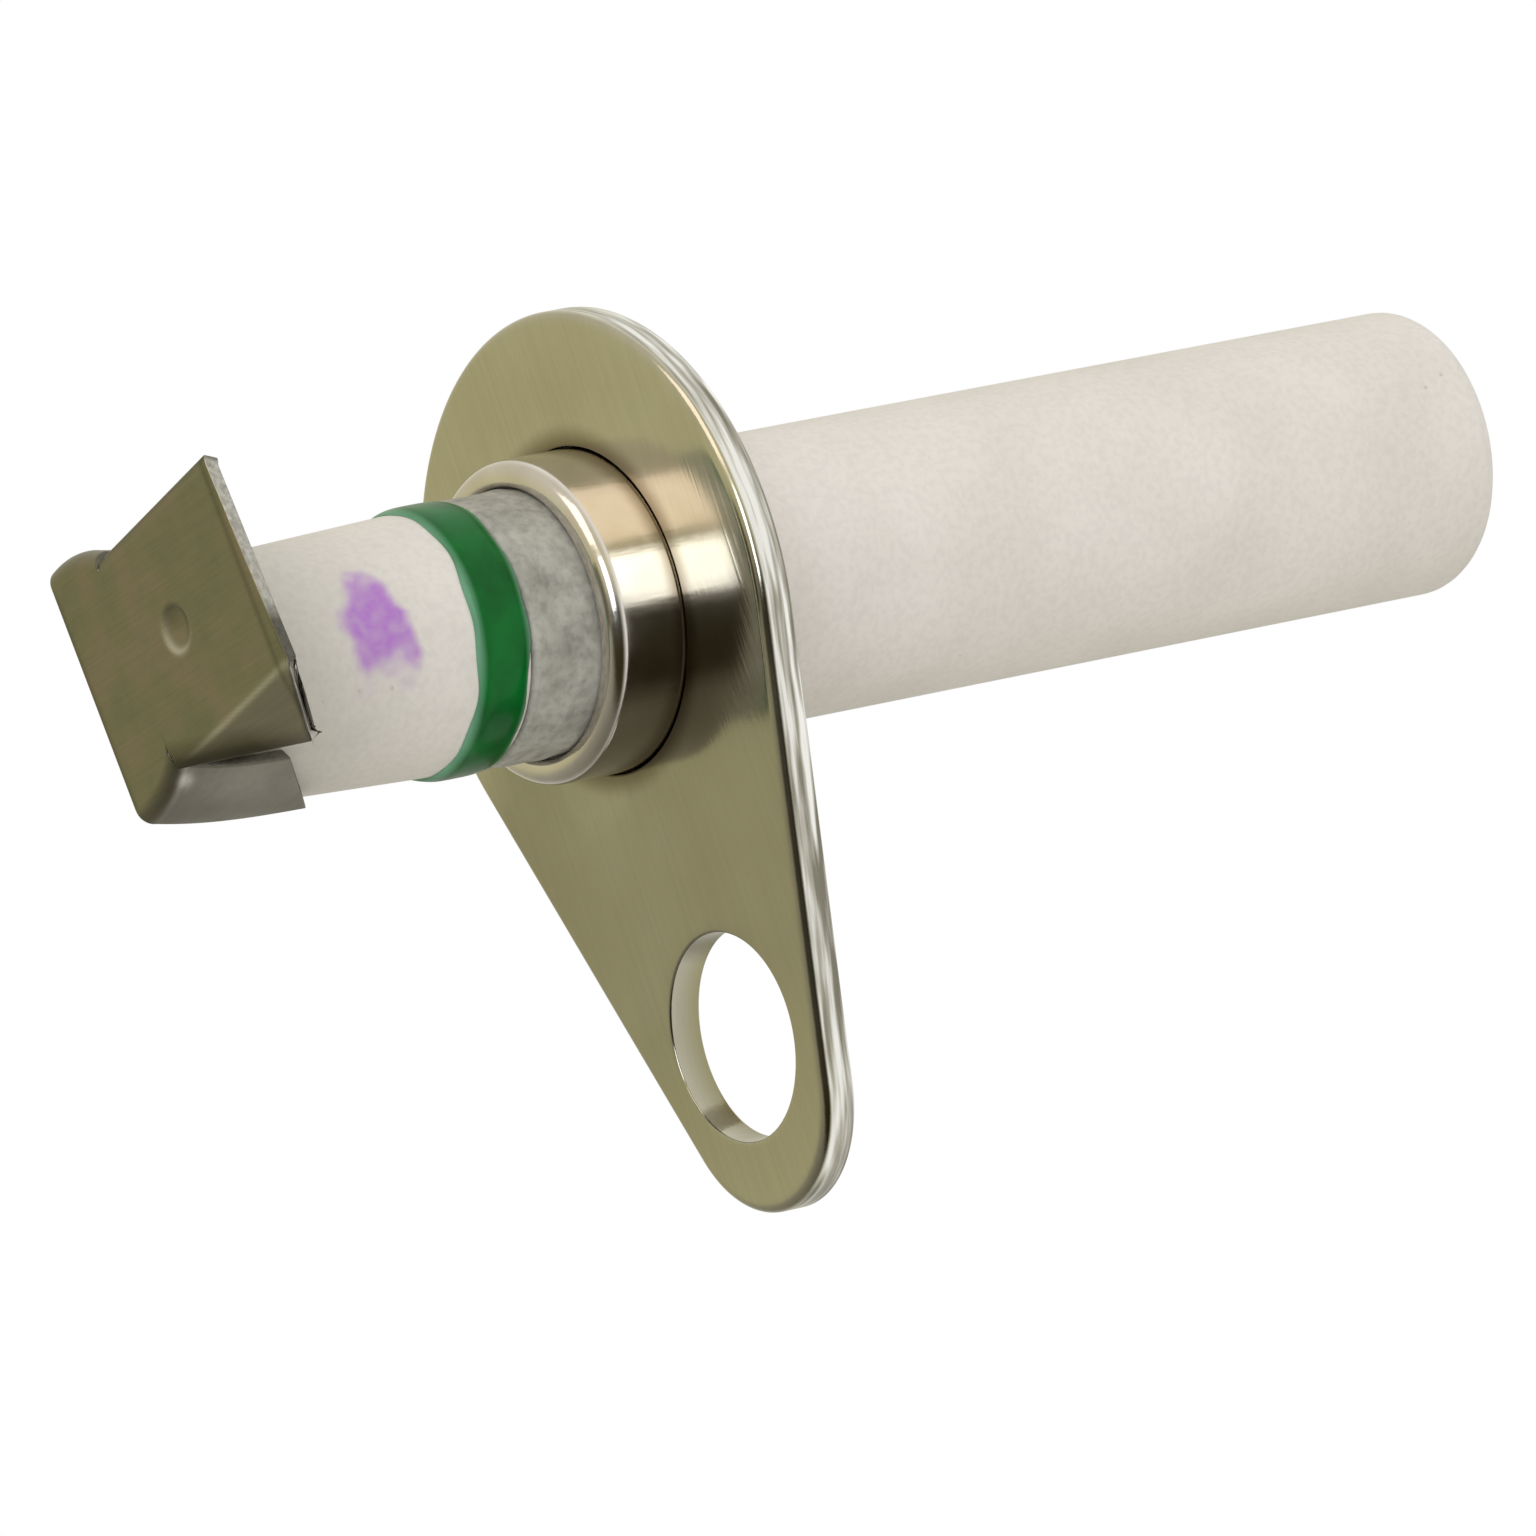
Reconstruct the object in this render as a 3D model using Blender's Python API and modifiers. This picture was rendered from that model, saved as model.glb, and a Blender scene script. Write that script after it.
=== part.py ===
"""Gas burner ignition electrode: a ceramic insulator held in a flanged collar on a teardrop plate.

+X runs along the electrode towards its terminal end, +Z is up and the plate's leg hangs along -Z.
The origin is on the electrode's axis, in the plane of the plate's front face.
"""

import math

import bmesh
import bpy
from mathutils import Matrix, Vector

MM = 0.001
SEAT = 0.05 * MM          # gap left where two pieces touch or seat on each other
FIT = 0.08 * MM           # radial clearance of a round piece in its bore
SEGMENTS = 64             # sides of the large round pieces
FINE_SEGMENTS = 32        # sides of the small round pieces

# Mounting plate
PLATE_THICKNESS = 1.2 * MM
PLATE_HEAD_R = 9.7 * MM
PLATE_TOE_R = 4.2 * MM
PLATE_LEG = 16.2 * MM            # from the electrode's axis down to the toe's centre
PLATE_EDGE_R = 0.22 * MM
SCREW_HOLE_R = 3.4 * MM
SCREW_HOLE_RISE = 1.6 * MM       # from the toe's centre up to the hole's centre

# Insulator
BARREL_R = 4.75 * MM
BARREL_END_X = 33.6 * MM
BARREL_EDGE_R = 0.7 * MM
SHOULDER_X = -0.7 * MM
NOSE_X = -15.6 * MM
NOSE_STEP = 0.53 * MM            # from the barrel's radius in to the nose's root
NOSE_TAPER = 0.32 * MM           # from the nose's root radius in to its tip
NOSE_EDGE_R = 0.25 * MM
WAIST_STEP = 0.67 * MM           # from the nose's root radius in to the waist
TIP_RECESS_WALL = 0.6 * MM
TIP_RECESS_DEPTH = 1.5 * MM
ROD_BORE_CLEARANCE = 0.12 * MM
SOCKET_WALL = 1.45 * MM
SOCKET_DEPTH = 12.0 * MM
SOCKET_CHAMFER = 0.4 * MM
CEMENT_WELL_WIDTH = 1.2 * MM     # from the rod's side to the well's wall
CEMENT_WELL_DEPTH = 2.0 * MM

# Collar
FERRULE_WALL = 0.45 * MM
FERRULE_REACH = 2.75 * MM        # how far its lip stands in front of the plate
FERRULE_LIP_WALL = 0.5 * MM
FERRULE_LIP_EDGE_R = 0.35 * MM
FERRULE_FLANGE_WIDTH = 1.32 * MM
FERRULE_FLANGE_WALL = 0.45 * MM

# Packing between insulator and collar
GASKET_WALL = 0.4 * MM
SLEEVE_STEP = 0.13 * MM          # from the nose's root radius out to the sleeve
sleeve_rEACH = 5.15 * MM         # how far it stands in front of the plate

# Colour band
BAND_WIDTH = 1.8 * MM
BAND_HEIGHT = 0.22 * MM

# Conductor
ROD_R = 0.8 * MM
ROD_BEND_STEPS = 12
ROD_FOOT_END = 1.3 * MM          # how far the bent foot runs past the middle of the dimple
STUD_R = 2.0 * MM
STUD_LENGTH = 7.5 * MM
STUD_NECK_R = 1.55 * MM
STUD_NECK_WIDTH = 0.9 * MM
STUD_TIP = 0.7 * MM
STUD_HEX_GAP = 0.4 * MM          # from the hexagon's corners to the socket's wall
STUD_HEX_HEIGHT = 1.6 * MM
STUD_THREAD_DEPTH = 4.0 * MM
WASHER_GAP = 0.3 * MM
WASHER_THICKNESS = 0.6 * MM
WASHER_SPLIT = 0.5 * MM

# Spark cap: a flag of thin sheet with two prongs that clip over the nose
CAP_STANDOFF = 3.1 * MM          # from the nose's end to the flag's outer face
CAP_SHEET = 0.5 * MM
CAP_TILT = math.radians(-6.5)    # turn about the electrode's axis
CAP_PITCH = math.radians(1.1)    # the flag leans back, turned about its prongs' ends
CAP_LIFT = 0.29 * MM             # the flag's middle sits this much above the middle of the prongs' ends
CAP_NEAR = -10.4 * MM            # the flag's free end, across the axis
CAP_NEAR_SKEW = 0.15 * MM        # the free end's corners stand off its middle by this much
CAP_PRONG_NEAR = -2.5 * MM
CAP_PRONG_FAR = 0.4 * MM
CAP_RELIEF = 0.3 * MM            # width of the nick beside each bend
CAP_TOP_EDGE_DROP = 1.08 * MM    # from the upper bend in to the flag's plain edge
CAP_BOTTOM_EDGE_DROP = 0.58 * MM
CAP_BEND_R = 0.55 * MM           # outer radius of the prongs' bends
CAP_PRONG_GAP = 0.15 * MM        # from the nose's tip radius to the prongs' inner faces, at their ends
CAP_PRONG_SPREAD = 0.06 * MM     # the nose springs each prong open by this much
CAP_PRONG_LENGTH = 6.05 * MM
CAP_PRONG_SLANT = 1.8 * MM       # how much shorter a prong is along its near edge
CAP_WING_DEPTH = 2.3 * MM        # the tapered wing below the flag, at the free end
CAP_WING_INSET = 0.7 * MM        # from the flag's free end in to the wing's tip
CAP_WING_BEND = math.radians(8.0)
CAP_DIMPLE_ACROSS = -5.45 * MM
CAP_DIMPLE_R = 0.72 * MM
CAP_DIMPLE_DEPTH = 0.2 * MM


def scene_collection(name):
    """A new collection in the scene."""
    collection = bpy.data.collections.new(name)
    bpy.context.scene.collection.children.link(collection)
    return collection


def principled(name, colour, roughness, metallic=0.0):
    """A plain Principled material."""
    material = bpy.data.materials.new(name)
    material.use_nodes = True
    shader = material.node_tree.nodes["Principled BSDF"]
    shader.inputs["Base Color"].default_value = (*colour, 1.0)
    shader.inputs["Roughness"].default_value = roughness
    shader.inputs["Metallic"].default_value = metallic
    return material


def place(obj, collection, material=None):
    """Link an object to its collection, with its material."""
    collection.objects.link(obj)
    if material is not None:
        obj.data.materials.append(material)
    return obj


def smooth(obj, angle=35.0):
    """Shade a round piece smooth and keep its sharp edges."""
    obj.data.shade_smooth()
    obj.data.set_sharp_from_angle(angle=math.radians(angle))


def arc(centre, radius, start, end, steps):
    """Points (x, r) on an arc in the turning plane, angles in degrees."""
    points = []
    for step in range(steps + 1):
        angle = math.radians(start + (end - start) * step / steps)
        points.append((centre[0] + radius * math.cos(angle), centre[1] + radius * math.sin(angle)))
    return points


def turned(name, profile, collection, material=None, segments=SEGMENTS):
    """A solid turned about X from (x, r) points whose outer side runs towards +X.

    The points are taken in reverse, because a Screw's outer side runs against its axis.
    A profile that starts and ends on the axis is left open there.
    """
    mesh = bpy.data.meshes.new(name)
    bm = bmesh.new()
    corners = [bm.verts.new((x, 0.0, r)) for x, r in reversed(profile)]
    count = len(corners)
    on_axis = profile[0][1] == 0.0 and profile[-1][1] == 0.0
    for index in range(count - 1 if on_axis else count):
        bm.edges.new((corners[index], corners[(index + 1) % count]))
    bm.to_mesh(mesh)
    bm.free()
    obj = place(bpy.data.objects.new(name, mesh), collection, material)
    screw = obj.modifiers.new("Turn", "SCREW")
    screw.axis = "X"
    screw.steps = segments
    screw.render_steps = segments
    screw.use_merge_vertices = True
    screw.merge_threshold = 0.00001
    screw.use_smooth_shade = True
    return obj


def cut(obj, cutter):
    """Take a cutter's shape out of an object."""
    boolean = obj.modifiers.new("Cut " + cutter.name, "BOOLEAN")
    boolean.operation = "DIFFERENCE"
    boolean.solver = "EXACT"
    boolean.object = cutter


def hide_cutter(obj):
    """Show a cutter as wire only."""
    obj.hide_render = True
    obj.display_type = "WIRE"
    return obj


def hexagon_prism(name, radius, start, length, collection, material=None):
    """A six-sided bar along X."""
    mesh = bpy.data.meshes.new(name)
    bm = bmesh.new()
    bmesh.ops.create_cone(bm, cap_ends=True, segments=6, radius1=radius, radius2=radius, depth=length)
    turn = Matrix.Rotation(math.pi / 2.0, 4, "Y")
    bmesh.ops.transform(bm, matrix=turn, verts=bm.verts)
    bmesh.ops.translate(bm, vec=Vector((start + length / 2.0, 0.0, 0.0)), verts=bm.verts)
    bm.to_mesh(mesh)
    bm.free()
    return place(bpy.data.objects.new(name, mesh), collection, material)


def teardrop(head_r, toe_r, leg, head_steps=48, toe_steps=28):
    """The outline round two circles and their common tangents, as (y, z) points."""
    slope = math.asin((head_r - toe_r) / leg)
    points = []
    for step in range(head_steps + 1):
        angle = -slope + (math.pi + 2.0 * slope) * step / head_steps
        points.append((head_r * math.cos(angle), head_r * math.sin(angle)))
    for step in range(toe_steps + 1):
        angle = math.pi + slope + (math.pi - 2.0 * slope) * step / toe_steps
        points.append((toe_r * math.cos(angle), toe_r * math.sin(angle) - leg))
    return points


for old in list(bpy.data.objects):
    bpy.data.objects.remove(old, do_unlink=True)
parts = scene_collection("Ignition electrode")
cutters = scene_collection("Cutters")

alumina = principled("Glazed alumina", (0.80, 0.74, 0.70), 0.30)
plated_steel = principled("Nickel-plated steel sheet", (0.42, 0.39, 0.29), 0.25, 1.0)
bright_steel = principled("Bright nickel-plated steel", (0.70, 0.66, 0.60), 0.12, 1.0)
soft_copper = principled("Soft copper", (0.72, 0.38, 0.24), 0.35, 1.0)
packing = principled("Grey sealing cement", (0.30, 0.29, 0.26), 0.90)
cement = principled("Grey refractory cement", (0.26, 0.25, 0.22), 0.95)
glaze = principled("Green enamel", (0.0, 0.11, 0.015), 0.12)
heat_alloy = principled("Heat-resisting alloy", (0.24, 0.22, 0.17), 0.35, 1.0)
cap_steel = principled("Stainless sheet", (0.15, 0.13, 0.08), 0.40, 1.0)
stud_steel = principled("Plated terminal steel", (0.60, 0.58, 0.52), 0.22, 1.0)
spring_steel = principled("Spring steel", (0.30, 0.30, 0.30), 0.35, 1.0)

# Stations along the axis that several pieces share
plate_back_x = PLATE_THICKNESS
ferrule_bore_r = BARREL_R + FIT
ferrule_r = ferrule_bore_r + FERRULE_WALL
ferrule_flange_r = ferrule_r + FERRULE_FLANGE_WIDTH
plate_bore_r = ferrule_r + SEAT
screw_hole_drop = PLATE_LEG - SCREW_HOLE_RISE
nose_root_r = BARREL_R - NOSE_STEP
nose_tip_r = nose_root_r - NOSE_TAPER
waist_r = nose_root_r - WAIST_STEP
sleeve_r = nose_root_r + SLEEVE_STEP
tip_recess_r = nose_tip_r - TIP_RECESS_WALL
socket_r = BARREL_R - SOCKET_WALL
cement_well_r = ROD_R + CEMENT_WELL_WIDTH
ferrule_lip_x = -FERRULE_REACH
lip_bore_r = sleeve_r + FIT
gasket_back_x = SHOULDER_X - SEAT
gasket_front_x = gasket_back_x - GASKET_WALL
sleeve_back_x = gasket_front_x - SEAT
sleeve_front_x = -sleeve_rEACH
sleeve_step_x = ferrule_lip_x + FERRULE_LIP_WALL + SEAT
nose_root_x = sleeve_front_x - SEAT
band_back_x = nose_root_x - SEAT
band_front_x = band_back_x - BAND_WIDTH
rod_bore_r = ROD_R + ROD_BORE_CLEARANCE
socket_floor_x = BARREL_END_X - SOCKET_DEPTH
well_floor_x = socket_floor_x - CEMENT_WELL_DEPTH
tip_recess_x = NOSE_X + TIP_RECESS_DEPTH
cap_face_x = NOSE_X - CAP_STANDOFF
cap_back_x = cap_face_x + CAP_SHEET
rod_foot_x = cap_back_x + SEAT + ROD_R
washer_x = socket_floor_x + SEAT
stud_x = washer_x + WASHER_THICKNESS + SEAT


def build_plate():
    """Teardrop plate, blanked from sheet, with the collar's hole and the screw hole."""
    outline = teardrop(PLATE_HEAD_R, PLATE_TOE_R, PLATE_LEG)
    mesh = bpy.data.meshes.new("mounting_plate")
    bm = bmesh.new()
    rim = [bm.verts.new((0.0, y, z)) for y, z in outline]
    face = bm.faces.new(rim)
    swept = bmesh.ops.extrude_face_region(bm, geom=[face])
    moved = [item for item in swept["geom"] if isinstance(item, bmesh.types.BMVert)]
    bmesh.ops.translate(bm, vec=Vector((PLATE_THICKNESS, 0.0, 0.0)), verts=moved)
    bmesh.ops.recalc_face_normals(bm, faces=bm.faces)
    bm.to_mesh(mesh)
    bm.free()
    plate = place(bpy.data.objects.new("mounting_plate", mesh), parts, plated_steel)
    edge = plate.modifiers.new("Rolled edges", "BEVEL")
    edge.width = PLATE_EDGE_R
    edge.segments = 2
    edge.angle_limit = math.radians(60.0)
    for name, radius, drop in (("Collar hole", plate_bore_r, 0.0),
                               ("Screw hole", SCREW_HOLE_R, screw_hole_drop)):
        profile = [(-PLATE_THICKNESS, 0.0), (-PLATE_THICKNESS, radius),
                   (2.0 * PLATE_THICKNESS, radius), (2.0 * PLATE_THICKNESS, 0.0)]
        hole = hide_cutter(turned(name, profile, cutters))
        hole.location.z = -drop
        cut(plate, hole)


def build_ferrule():
    """Drawn collar through the plate: rolled lip in front, flange brazed to the plate's back."""
    lip_inner_x = ferrule_lip_x + FERRULE_LIP_WALL
    flange_x = plate_back_x + SEAT
    flange_end_x = flange_x + FERRULE_FLANGE_WALL
    crown = arc((ferrule_lip_x + FERRULE_LIP_EDGE_R, ferrule_r - FERRULE_LIP_EDGE_R),
                FERRULE_LIP_EDGE_R, 180.0, 90.0, 6)
    profile = [(ferrule_lip_x, lip_bore_r)] + crown
    profile += [(flange_x, ferrule_r), (flange_x, ferrule_flange_r)]
    profile += [(flange_end_x, ferrule_flange_r), (flange_end_x, ferrule_bore_r)]
    profile += [(lip_inner_x, ferrule_bore_r), (lip_inner_x, lip_bore_r)]
    turned("ferrule", profile, parts, bright_steel)


def build_insulator():
    """One alumina body: barrel, shoulder, waist for the packing, and tapered nose."""
    end_edge = arc((BARREL_END_X - BARREL_EDGE_R, BARREL_R - BARREL_EDGE_R), BARREL_EDGE_R, 90.0, 0.0, 5)
    nose_edge = arc((NOSE_X + NOSE_EDGE_R, nose_tip_r - NOSE_EDGE_R), NOSE_EDGE_R, 180.0, 90.0, 4)
    profile = [(NOSE_X, tip_recess_r)] + nose_edge
    profile += [(band_front_x, nose_root_r), (nose_root_x, nose_root_r), (nose_root_x, waist_r)]
    profile += [(SHOULDER_X, waist_r), (SHOULDER_X, BARREL_R)] + end_edge
    profile += [(BARREL_END_X, socket_r + SOCKET_CHAMFER), (BARREL_END_X - SOCKET_CHAMFER, socket_r)]
    profile += [(socket_floor_x, socket_r), (socket_floor_x, cement_well_r)]
    profile += [(well_floor_x, cement_well_r), (well_floor_x, rod_bore_r)]
    profile += [(tip_recess_x, rod_bore_r), (tip_recess_x, tip_recess_r)]
    turned("insulator", profile, parts, alumina)


def build_packing():
    """Soft gasket on the insulator's shoulder, and the cement sleeve that locks it in the collar."""
    hole_r = waist_r + FIT
    gasket_r = ferrule_bore_r - FIT
    gasket = [(gasket_front_x, hole_r), (gasket_front_x, gasket_r)]
    gasket += [(gasket_back_x, gasket_r), (gasket_back_x, hole_r)]
    turned("crush_gasket", gasket, parts, soft_copper)
    sleeve = [(sleeve_front_x, hole_r), (sleeve_front_x, sleeve_r), (sleeve_step_x, sleeve_r)]
    sleeve += [(sleeve_step_x, gasket_r), (sleeve_back_x, gasket_r), (sleeve_back_x, hole_r)]
    turned("sealing_sleeve", sleeve, parts, packing)


def build_band():
    """Colour band: a raised bead of enamel fired round the nose."""
    inner_r = nose_root_r + SEAT
    middle_x = (band_front_x + band_back_x) / 2.0
    steps = 8
    bead = []
    for step in range(steps + 1):
        along = -1.0 + 2.0 * step / steps
        bead.append((middle_x + along * BAND_WIDTH / 2.0,
                     inner_r + SEAT + BAND_HEIGHT * math.sqrt(max(0.0, 1.0 - along ** 4))))
    profile = [(band_front_x, inner_r)] + bead + [(band_back_x, inner_r)]
    turned("color_band", profile, parts, glaze)


def build_conductor():
    """Rod through the insulator, its cement plugs, and the terminal screwed on its rear end."""
    thread_bore_r = ROD_R + SEAT
    rod_end_x = stud_x + STUD_THREAD_DEPTH
    bend_r = NOSE_X - SEAT - rod_foot_x
    route = [(rod_end_x, 0.0)]
    for step in range(ROD_BEND_STEPS + 1):
        angle = math.pi / 2.0 * step / ROD_BEND_STEPS
        route.append((NOSE_X - SEAT - bend_r * math.sin(angle), bend_r * (math.cos(angle) - 1.0)))
    route.append((rod_foot_x, CAP_DIMPLE_ACROSS - ROD_FOOT_END))
    wire = bpy.data.curves.new("electrode_rod", "CURVE")
    wire.dimensions = "3D"
    wire.bevel_depth = ROD_R
    wire.bevel_resolution = 4
    wire.use_fill_caps = True
    spline = wire.splines.new("POLY")
    spline.points.add(len(route) - 1)
    for point, (x, across) in zip(spline.points, route):
        point.co = (x, across * math.cos(CAP_TILT), across * math.sin(CAP_TILT), 1.0)
    place(bpy.data.objects.new("electrode_rod", wire), parts, heat_alloy)

    plug_hole_r = ROD_R + FIT
    washer_r = socket_r - WASHER_GAP
    tip_plug = [(NOSE_X + 2.0 * SEAT, plug_hole_r), (NOSE_X + 2.0 * SEAT, tip_recess_r - FIT)]
    tip_plug += [(tip_recess_x - SEAT, tip_recess_r - FIT), (tip_recess_x - SEAT, plug_hole_r)]
    turned("nose_cement", tip_plug, parts, cement)

    rear_plug = [(well_floor_x + SEAT, plug_hole_r), (well_floor_x + SEAT, cement_well_r - FIT)]
    rear_plug += [(socket_floor_x - SEAT, cement_well_r - FIT), (socket_floor_x - SEAT, plug_hole_r)]
    turned("rear_cement", rear_plug, parts, cement, FINE_SEGMENTS)

    washer = [(washer_x, plug_hole_r), (washer_x, washer_r)]
    washer += [(washer_x + WASHER_THICKNESS, washer_r), (washer_x + WASHER_THICKNESS, plug_hole_r)]
    ring = turned("lock_washer", washer, parts, spring_steel, FINE_SEGMENTS)
    mesh = bpy.data.meshes.new("Washer split")
    bm = bmesh.new()
    bmesh.ops.create_cube(bm, size=1.0)
    bmesh.ops.scale(bm, vec=Vector((4.0 * WASHER_THICKNESS, WASHER_SPLIT, washer_r)), verts=bm.verts)
    bm.to_mesh(mesh)
    bm.free()
    split = hide_cutter(place(bpy.data.objects.new("Washer split", mesh), cutters))
    split.location = (washer_x, 0.0, ROD_R + washer_r / 2.0)
    cut(ring, split)

    hex_end_x = stud_x + STUD_HEX_HEIGHT
    stud_end_x = stud_x + STUD_LENGTH
    neck_x = stud_end_x - 2.0 * STUD_TIP - 2.0 * STUD_NECK_WIDTH
    shank = [(hex_end_x - SEAT, 0.0), (hex_end_x - SEAT, STUD_R), (neck_x, STUD_R)]
    shank += [(neck_x + STUD_NECK_WIDTH / 2.0, STUD_NECK_R), (neck_x + STUD_NECK_WIDTH, STUD_R)]
    shank += [(stud_end_x - STUD_TIP, STUD_R)]
    shank += arc((stud_end_x - STUD_TIP, STUD_R - STUD_TIP), STUD_TIP, 90.0, 0.0, 5)[1:]
    shank += [(stud_end_x, 0.0)]
    pin = hide_cutter(turned("Terminal shank", shank, cutters, None, FINE_SEGMENTS))
    stud = hexagon_prism("terminal_stud", socket_r - STUD_HEX_GAP, stud_x, STUD_HEX_HEIGHT, parts, stud_steel)
    joined = stud.modifiers.new("Shank", "BOOLEAN")
    joined.operation = "UNION"
    joined.solver = "EXACT"
    joined.object = pin
    bore = [(stud_x - STUD_HEX_HEIGHT, 0.0), (stud_x - STUD_HEX_HEIGHT, thread_bore_r)]
    bore += [(rod_end_x + SEAT, thread_bore_r), (rod_end_x + 2.0 * SEAT, 0.0)]
    cut(stud, hide_cutter(turned("Terminal bore", bore, cutters, None, FINE_SEGMENTS)))
    smooth(stud)


def build_cap():
    """Spark cap: flat flag, two bent prongs that straddle the nose, a tapered wing and a dimple."""
    bend_steps = 5
    prong_steps = 8
    across_steps = 6
    prong_n = nose_tip_r + CAP_PRONG_GAP + CAP_SHEET
    prong_width = CAP_PRONG_FAR - CAP_PRONG_NEAR
    pivot = Matrix.Translation((cap_face_x + CAP_PRONG_LENGTH, 0.0, 0.0))
    pitched = pivot @ Matrix.Rotation(CAP_PITCH, 4, "Y") @ pivot.inverted()
    seat = Matrix.Rotation(CAP_TILT, 4, "X") @ pitched
    top_offset = CAP_LIFT - CAP_PRONG_SPREAD
    bottom_offset = -CAP_LIFT - CAP_PRONG_SPREAD
    top_edge_n = prong_n + top_offset - CAP_TOP_EDGE_DROP
    bottom_edge_n = prong_n + bottom_offset - CAP_BOTTOM_EDGE_DROP

    def half_path(across, offset, edge_n):
        """Points (x, n) along the sheet's outer side, from the middle out and back along a prong.

        The prong follows the round nose across its width, and its bend stands off its end by the offset.
        """
        round_n = math.sqrt(prong_n ** 2 - across ** 2)
        bend_n = round_n + offset - CAP_BEND_R
        half = [(cap_face_x, 0.0), (cap_face_x, min(edge_n, bend_n - SEAT))]
        for step in range(bend_steps + 1):
            angle = math.pi / 2.0 * step / bend_steps
            half.append((cap_face_x + CAP_BEND_R * (1.0 - math.cos(angle)),
                         bend_n + CAP_BEND_R * math.sin(angle)))
        reach = CAP_PRONG_LENGTH - CAP_BEND_R - CAP_PRONG_SLANT * (CAP_PRONG_FAR - across) / prong_width
        for step in range(1, prong_steps + 1):
            along = step / prong_steps
            half.append((cap_face_x + CAP_BEND_R + reach * along, round_n + offset * (1.0 - along) ** 3))
        return half

    mesh = bpy.data.meshes.new("spark_cap")
    bm = bmesh.new()
    columns = []
    for across, skew in ((CAP_NEAR, CAP_NEAR_SKEW), (CAP_PRONG_NEAR - CAP_RELIEF, 0.0)):
        columns.append([bm.verts.new((cap_face_x, across - skew, -bottom_edge_n)),
                        bm.verts.new((cap_face_x, across, 0.0)),
                        bm.verts.new((cap_face_x, across + skew, top_edge_n))])
    for step in range(across_steps + 1):
        across = CAP_PRONG_NEAR + prong_width * step / across_steps
        bottom = [(x, -n) for x, n in half_path(across, bottom_offset, bottom_edge_n)]
        top = half_path(across, top_offset, top_edge_n)
        columns.append([bm.verts.new((x, across, n)) for x, n in bottom[:0:-1] + top])
    for left, right in zip(columns, columns[1:]):
        shared = min(len(left), len(right)) // 2
        for row in range(-shared, shared):
            left_row = len(left) // 2 + row
            right_row = len(right) // 2 + row
            bm.faces.new((left[left_row], left[left_row + 1], right[right_row + 1], right[right_row]))
    wing_tip = bm.verts.new((cap_face_x + CAP_WING_DEPTH * math.sin(CAP_WING_BEND), CAP_NEAR + CAP_WING_INSET,
                             -bottom_edge_n - CAP_WING_DEPTH * math.cos(CAP_WING_BEND)))
    bm.faces.new((wing_tip, columns[0][0], columns[1][0]))
    bmesh.ops.transform(bm, matrix=seat, verts=bm.verts)
    bm.to_mesh(mesh)
    bm.free()
    cap = place(bpy.data.objects.new("spark_cap", mesh), parts, cap_steel)
    sheet = cap.modifiers.new("Sheet", "SOLIDIFY")
    sheet.thickness = CAP_SHEET
    sheet.offset = -1.0
    sheet.use_even_offset = True
    ball_r = (CAP_DIMPLE_R ** 2 + CAP_DIMPLE_DEPTH ** 2) / (2.0 * CAP_DIMPLE_DEPTH)
    ball_mesh = bpy.data.meshes.new("Dimple")
    bm = bmesh.new()
    bmesh.ops.create_uvsphere(bm, u_segments=40, v_segments=40, radius=ball_r)
    bm.to_mesh(ball_mesh)
    bm.free()
    ball = hide_cutter(place(bpy.data.objects.new("Dimple", ball_mesh), cutters))
    ball.location = seat @ Vector((cap_face_x + CAP_DIMPLE_DEPTH - ball_r, CAP_DIMPLE_ACROSS, 0.0))
    cut(cap, ball)
    smooth(cap)


build_plate()
build_ferrule()
build_insulator()
build_packing()
build_band()
build_conductor()
build_cap()
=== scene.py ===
"""Gas burner ignition electrode: a glazed ceramic insulator in a bright collar on a teardrop plate.

Metres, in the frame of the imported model: +X runs along the electrode to its terminal end, +Z is up, and
the plate's leg hangs along -Z. The file follows the bench: insulator, conductor, packing, collar, plate, cap.
"""

import math

import bmesh
import bpy
import numpy as np
from mathutils import Matrix, Vector


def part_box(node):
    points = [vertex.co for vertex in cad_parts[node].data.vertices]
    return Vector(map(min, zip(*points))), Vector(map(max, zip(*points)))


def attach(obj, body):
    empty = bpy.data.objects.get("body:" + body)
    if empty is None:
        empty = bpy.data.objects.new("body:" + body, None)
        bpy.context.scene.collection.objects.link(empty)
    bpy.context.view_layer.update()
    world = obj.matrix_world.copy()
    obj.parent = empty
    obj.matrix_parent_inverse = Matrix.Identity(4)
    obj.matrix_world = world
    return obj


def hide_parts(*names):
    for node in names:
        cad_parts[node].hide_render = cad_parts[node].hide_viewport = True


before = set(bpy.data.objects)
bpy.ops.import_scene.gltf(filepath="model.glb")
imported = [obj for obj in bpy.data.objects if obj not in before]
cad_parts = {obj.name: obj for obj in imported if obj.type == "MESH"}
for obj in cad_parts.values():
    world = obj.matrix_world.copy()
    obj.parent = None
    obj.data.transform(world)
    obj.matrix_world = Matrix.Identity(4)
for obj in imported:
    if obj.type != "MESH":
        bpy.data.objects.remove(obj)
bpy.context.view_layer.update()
MM = 0.001


# ---------------------------------------------------------------- camera
# A long lens a little below the electrode's axis, rolled so that the insulator climbs to the right.

CAMERA_AZIMUTH = math.radians(-34.4)
CAMERA_ELEVATION = math.radians(-10.96)
CAMERA_ROLL = math.radians(-18.44)
CAMERA_DISTANCE = 497.0 * MM
CAMERA_LENS_MM = 363.4
AIM_RIGHT = 5.72 * MM      # the point looked at, from the frame's origin
AIM_DOWN = 5.03 * MM

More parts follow.
